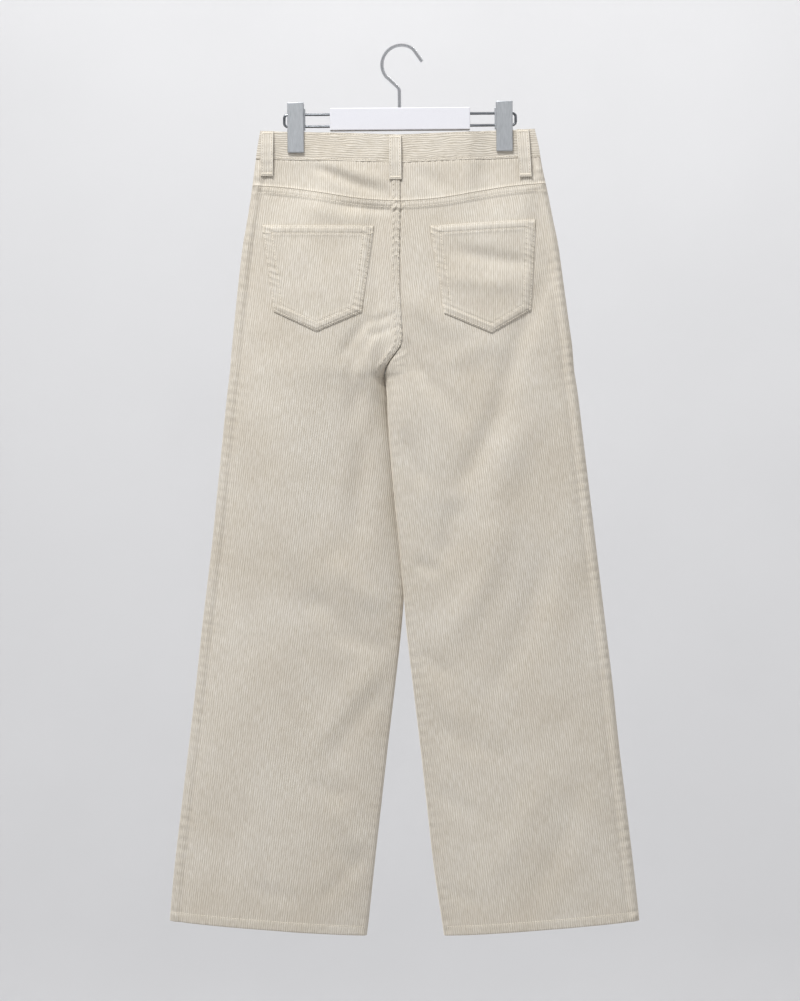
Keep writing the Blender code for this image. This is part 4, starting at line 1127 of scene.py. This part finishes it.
def sew_pockets():
    """Double rows round each pocket, and double rows along its mouth."""
    rows = []
    for leg, corners in POCKETS.items():
        points = [Vector(c) for c in corners]
        sides = list(zip(points, points[1:] + points[:1]))
        for inset in (STITCH_IN, STITCH_IN + STITCH_APART):
            lines = []
            for start, end in sides:
                run = (end - start).normalized()
                inwards = Vector((run.y, -run.x))
                lines.append((start + inwards * inset, run))
            inner = []
            for (p, d), (q, e) in zip(lines[-1:] + lines[:-1], lines):
                t = ((q.x - p.x) * e.y - (q.y - p.y) * e.x) / (d.x * e.y - d.y * e.x)
                inner.append(p + d * t)
            inner[0].y, inner[1].y = points[0].y - 0.0008, points[1].y - 0.0008
            path = np.concatenate([np.linspace(a, b, 60) for a, b in zip(inner[1:], inner[2:] +
                                                                        inner[:1])])
            rows.append((-1, on_cloth(-1, path[:, 0], path[:, 1],
                                      pocket_lift(corners, path[:, 0], path[:, 1]))))
        for down in (STITCH_IN, POCKET_HEM - 0.0012):
            share = np.linspace(0.02, 0.98, 90)
            x = points[0].x + (points[1].x - points[0].x) * share
            z = points[0].y + (points[1].y - points[0].y) * share - down
            rows.append((-1, on_cloth(-1, x, z, pocket_lift(corners, x, z))))
    sew("stitches_pockets", rows)


def sew_waistband():
    """A row along the waistband's foot and one along its top, back and front."""
    rows = []
    for leg in ("left", "right"):
        for face in (-1, 1):
            last = 1.0 + FLY_LAP / HALF_WAIST * 0.7 if (leg, face) == ("left", 1) else 0.997
            s = np.linspace(0.02, last, 150)
            raised = smooth((s - 0.70) / 0.11) if (leg, face) == ("left", 1) else 0.0
            for row in (0.055, 0.945):
                rows.append((face, band_place(leg, face, s, np.full(s.shape, row), raised)))
    sew("stitches_waistband", rows)


def sew_hems():
    """One row round each hem."""
    rows = []
    for leg in ("left", "right"):
        for face in (-1, 1):
            s = np.linspace(0.02, 0.98, 140)
            rows.append(along_cloth(leg, face, s, height_at(HEM_EDGE, s) + HEM_DEEP))
    sew("stitches_hems", rows)


def loop_surface(name, across, share):
    """Points on a finished belt loop's outer side, by looking at its mesh from outside."""
    loop, piece = LOOPS[name], bpy.data.objects["cloth_loop_" + name]
    x = loop.x_top + (loop.x_foot - loop.x_top) * share + across * LOOP_WIDTH
    z = loop.z_top + (loop.z_foot - loop.z_top) * share
    z = z + x * math.tan(TILT)
    points = []
    for px, pz in zip(x, z):
        hit, where, _, _ = piece.ray_cast(Vector((px, loop.face * 0.2, pz)),
                                          Vector((0, -loop.face, 0)))
        if hit:
            points.append(where[:])
    return np.array(points)


def sew_loops():
    """Two rows down each loop, and a bar tack at its head and foot."""
    rows, tacks = [], []
    for name, loop in LOOPS.items():
        share = np.linspace(0.03, 0.97, 60)
        for across in (-0.36, 0.36):
            rows.append((loop.face, loop_surface(name, across + 0 * share, share)))
        for share_tack in (0.045, 0.950):
            for across in np.linspace(-0.40, 0.40, 19):
                ends = np.array((share_tack - 0.020, share_tack + 0.020))
                tacks.append((loop.face, loop_surface(name, across + 0 * ends, ends)))
    sew("stitches_loops", rows)
    sew("bar_tacks_loops", tacks, length=0.0026, pitch=0.01)


def tack_pockets():
    """A bar tack at each top corner of the pockets."""
    tacks = []
    for leg, corners in POCKETS.items():
        for corner, turn in ((corners[0], 1), (corners[1], -1)):
            for k in range(13):
                z = corner[1] - 0.0012 - 0.0007 * k
                x = corner[0] + turn * np.array((0.0008, 0.0040))
                z = np.array((z, z))
                tacks.append((-1, on_cloth(-1, x, z, pocket_lift(corners, x, z))))
    sew("bar_tacks_pockets", tacks, length=0.0032, pitch=0.01)


sew_yokes()
sew_seat()
sew_front()
sew_pockets()
sew_waistband()
sew_hems()
sew_loops()
tack_pockets()

# ---------------------------------------------------------------- button, zip and clips
def centre_of(node_name):
    """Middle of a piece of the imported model."""
    piece = bpy.data.objects[node_name]
    return sum((piece.matrix_world @ Vector(c) for c in piece.bound_box), Vector()) / 8


def settle(piece, name, material, edge=0.0, replaced=None):
    """Applies a finished piece's place, rounds its edges, and hands it over."""
    piece.name = piece.data.name = name
    pick(piece)
    bpy.ops.object.transform_apply(location=True, rotation=True, scale=True)
    if edge:
        shape(piece, "BEVEL", width=edge, segments=3, limit_method="ANGLE")
    bpy.ops.object.shade_smooth_by_angle(angle=math.radians(40))
    hand_over(piece, material, replaced)


def bore(piece, places, radius, depth):
    """Drills round holes through a piece, front to back."""
    for x, z in places:
        deselect()
        bpy.ops.mesh.primitive_cylinder_add(vertices=20, radius=radius, depth=depth,
                                            location=(x, piece.location.y, z),
                                            rotation=(math.radians(90), 0, 0))
        drill = bpy.context.object
        shape(piece, "BOOLEAN", operation="DIFFERENCE", object=drill, solver="EXACT")
        bpy.data.objects.remove(drill, do_unlink=True)


BUTTON_RADIUS, BUTTON_THICK, BUTTON_HOLE, HOLES_APART = 0.0085, 0.0032, 0.0008, 0.0030


def four_hole_button():
    """A turned disc with a raised rim and a dished middle, four holes and its thread."""
    centre = centre_of("button")
    deselect()
    bpy.ops.mesh.primitive_cylinder_add(vertices=64, radius=BUTTON_RADIUS, depth=BUTTON_THICK,
                                        location=centre, rotation=(math.radians(-90), 0, 0))
    disc = bpy.context.object
    bpy.ops.object.mode_set(mode="EDIT")
    bpy.ops.mesh.select_mode(type="FACE")
    bm = bmesh.from_edit_mesh(disc.data)
    for face in bm.faces:
        face.select_set(face.normal.z > 0.9)
    bmesh.update_edit_mesh(disc.data)
    bpy.ops.mesh.inset(thickness=0.0017, depth=0.0)
    bpy.ops.mesh.inset(thickness=0.0011, depth=-0.0009)
    bpy.ops.object.mode_set(mode="OBJECT")
    half = HOLES_APART / 2
    places = [(centre.x + i * half, centre.z + j * half) for i in (-1, 1) for j in (-1, 1)]
    bore(disc, places, BUTTON_HOLE, 0.02)
    settle(disc, "horn_button", horn, edge=0.0004, replaced="button")
    strands = []
    for shift in (-0.0005, 0.0, 0.0005):
        for j in (-1, 1):
            strands.append((1, np.array([(centre.x + i * half * 1.1, centre.y + BUTTON_THICK / 2
                                          - 0.0007, centre.z + j * half + shift) for i in (-1, 1)])))
    sew("button_thread", strands, length=HOLES_APART * 1.3, pitch=0.01)


TOOTH = (0.0034, 0.0011, 0.0010)
TOOTH_PITCH = 0.0019
ZIP_X = -0.0050


def tape_face(z):
    """How far forward the zip tape's outer side lies."""
    return cloth_form("right", 1, UNDER_LAP, z, relief=False)[..., 1] - TAPE_INSET


def zip_teeth():
    """Two rows of brass teeth that mesh down the middle of the tape, and a stop at the foot."""
    deselect()
    bpy.ops.mesh.primitive_cube_add(size=1)
    shape(bpy.context.object, "BEVEL", width=0.14, segments=2)
    points, faces = mesh_of(bpy.context.object)
    heights = np.arange(FLY_TOP - 0.004, -0.310, -TOOTH_PITCH / 2)
    placed = []
    for k, (z, y) in enumerate(zip(heights, tape_face(heights))):
        x = ZIP_X + (1 if k % 2 else -1) * 0.0011
        placed.append(points * TOOTH + (x, y + TOOTH[1] / 2, z + x * math.tan(TILT)))
    z = float(heights[-1]) - 0.0022
    placed.append(points * (0.0060, 0.0013, 0.0024)
                  + (ZIP_X, float(tape_face(z)) + 0.0006, z + ZIP_X * math.tan(TILT)))
    settle(joined("zip_teeth", placed, faces), "zip_teeth", brass)


def zip_pull():
    """The slider's pull: a flat tab with a hole at its lower end, hanging under the slider."""
    centre = centre_of("zip_slider")
    z = centre.z - 0.0120
    deselect()
    bpy.ops.mesh.primitive_cube_add(size=1, location=(centre.x, float(tape_face(z)) + 0.0017, z))
    tab = bpy.context.object
    tab.scale = (0.0046, 0.0006, 0.0150)
    bpy.ops.object.transform_apply(location=False, rotation=False, scale=True)
    bpy.ops.object.mode_set(mode="EDIT")
    bpy.ops.mesh.select_mode(type="EDGE")
    bm = bmesh.from_edit_mesh(tab.data)
    for edge in bm.edges:
        a, b = edge.verts
        edge.select_set(abs(a.co.y - b.co.y) > 0.0003)
    bmesh.update_edit_mesh(tab.data)
    bpy.ops.mesh.bevel(offset=0.0020, segments=5)
    bpy.ops.object.mode_set(mode="OBJECT")
    bore(tab, [(centre.x, z - 0.0045)], 0.0013, 0.01)
    settle(tab, "zip_pull", brass, edge=0.00015)


def clip_rolls():
    """The rolled top edge of each pressed jaw, which catches the light."""
    for name in ("left", "right"):
        for face_name, face in (("back", -1), ("front", 1)):
            jaw = bpy.data.objects[f"clip_{name}_{face_name}_jaw"]
            corners = np.array([jaw.matrix_world @ Vector(c) for c in jaw.bound_box])
            low, high = corners.min(axis=0), corners.max(axis=0)
            outer = high[1] if face > 0 else low[1]
            deselect()
            bpy.ops.mesh.primitive_cylinder_add(
                vertices=24, radius=0.0013, depth=high[0] - low[0] - 0.0006,
                location=((low[0] + high[0]) / 2, outer - face * 0.0011, high[2] - 0.0009),
                rotation=(0, math.radians(90) - TILT, 0))
            settle(bpy.context.object, f"clip_{name}_{face_name}_roll", satin_steel,
                   edge=0.0004)


four_hole_button()
zip_teeth()
zip_pull()
clip_rolls()

# ---------------------------------------------------------------- finishes of the hard pieces
FINISHES = {
    "zip_slider": brass, "hanger_hook": chrome, "hanger_bar": white_plastic,
    "hanger_wire_left": spring_steel, "hanger_wire_right": spring_steel,
}
for name in CAD_NODES:
    if name.startswith("clip_"):
        FINISHES[name] = satin_steel
for name, material in FINISHES.items():
    piece = bpy.data.objects[name]
    for slot in piece.material_slots:
        slot.material = material

# ---------------------------------------------------------------- studio
FLOOR_Z = -3.30
FLOOR_RADIUS, COVE_RADIUS, WALL_HIGH = 4.0, 1.2, 4.6

# Soft lamps: place, what each is aimed at, size across in metres, and power in watts
Lamp = namedtuple("Lamp", "name place aim size power")
LAMPS = (
    Lamp("overhead", (-0.9, -1.9, 2.5), (0.0, 0.0, -0.6), 1.0, 117),
    Lamp("wall", (0.0, 1.9, 2.6), (0.0, 5.2, 0.4), 0.8, 68),
    Lamp("behind", (0.9, 2.2, 1.8), (0.0, 0.0, -0.6), 1.2, 34),
)
AIR_COLOUR, AIR_STRENGTH = "#F3F3F4", 0.835     # light that comes evenly from all round


def studio_floor():
    """A round pale floor that turns up into a plain wall all round, open to the air above."""
    flat, cove, wall = FLOOR_RADIUS, COVE_RADIUS, WALL_HIGH
    rings = [(flat * k / 4, 0.0) for k in range(5)]
    rings += [(flat + cove * math.sin(math.radians(9 * k)),
               cove * (1 - math.cos(math.radians(9 * k)))) for k in range(1, 11)]
    rings += [(flat + cove, cove + wall * k / 4) for k in range(1, 5)]
    bm = bmesh.new()
    profile = [bm.verts.new((radius, 0.0, FLOOR_Z + rise)) for radius, rise in rings]
    for a, b in zip(profile, profile[1:]):
        bm.edges.new((a, b))
    bmesh.ops.spin(bm, geom=bm.verts[:] + bm.edges[:], cent=(0, 0, 0), axis=(0, 0, 1),
                   angle=2 * math.pi, steps=96, use_merge=True)
    bmesh.ops.remove_doubles(bm, verts=bm.verts, dist=1e-4)
    bmesh.ops.recalc_face_normals(bm, faces=bm.faces)
    mesh = bpy.data.meshes.new("studio_floor")
    bm.to_mesh(mesh)
    bm.free()
    mesh.shade_smooth()
    mesh.materials.append(paper)
    floor = bpy.data.objects.new("studio_floor", mesh)
    bpy.context.scene.collection.objects.link(floor)


def softbox(lamp):
    """A round soft lamp at its place, turned to what it is aimed at."""
    light = bpy.data.lights.new(lamp.name, "AREA")
    light.shape, light.size, light.energy = "DISK", lamp.size, lamp.power
    piece = bpy.data.objects.new(lamp.name, light)
    piece.location = lamp.place
    piece.rotation_euler = (Vector(lamp.aim) - Vector(lamp.place)).to_track_quat("-Z", "Y").to_euler()
    bpy.context.scene.collection.objects.link(piece)


studio_floor()
for lamp in LAMPS:
    softbox(lamp)

world = bpy.data.worlds.new("studio_air")
world.use_nodes = True
world.node_tree.nodes["Background"].inputs["Color"].default_value = linear(AIR_COLOUR)
world.node_tree.nodes["Background"].inputs["Strength"].default_value = AIR_STRENGTH
bpy.context.scene.world = world
bpy.context.scene.view_settings.view_transform = "Standard"

# ---------------------------------------------------------------- camera
# Level with the middle of the garment, three metres behind it; the long side of the sensor is
# upright and takes in 1.30 m at the garment
CAMERA_AWAY = 3.0
VIEW_HEIGHT = 1.3013
lens = bpy.data.cameras.new("camera")
lens.sensor_width = 36.0
lens.lens = lens.sensor_width * CAMERA_AWAY / VIEW_HEIGHT
camera = bpy.data.objects.new("camera", lens)
camera.location = (-0.0017, -CAMERA_AWAY, -0.5898)
camera.rotation_euler = (math.radians(90), 0, 0)
bpy.context.scene.collection.objects.link(camera)
bpy.context.scene.camera = camera

bpy.context.view_layer.update()
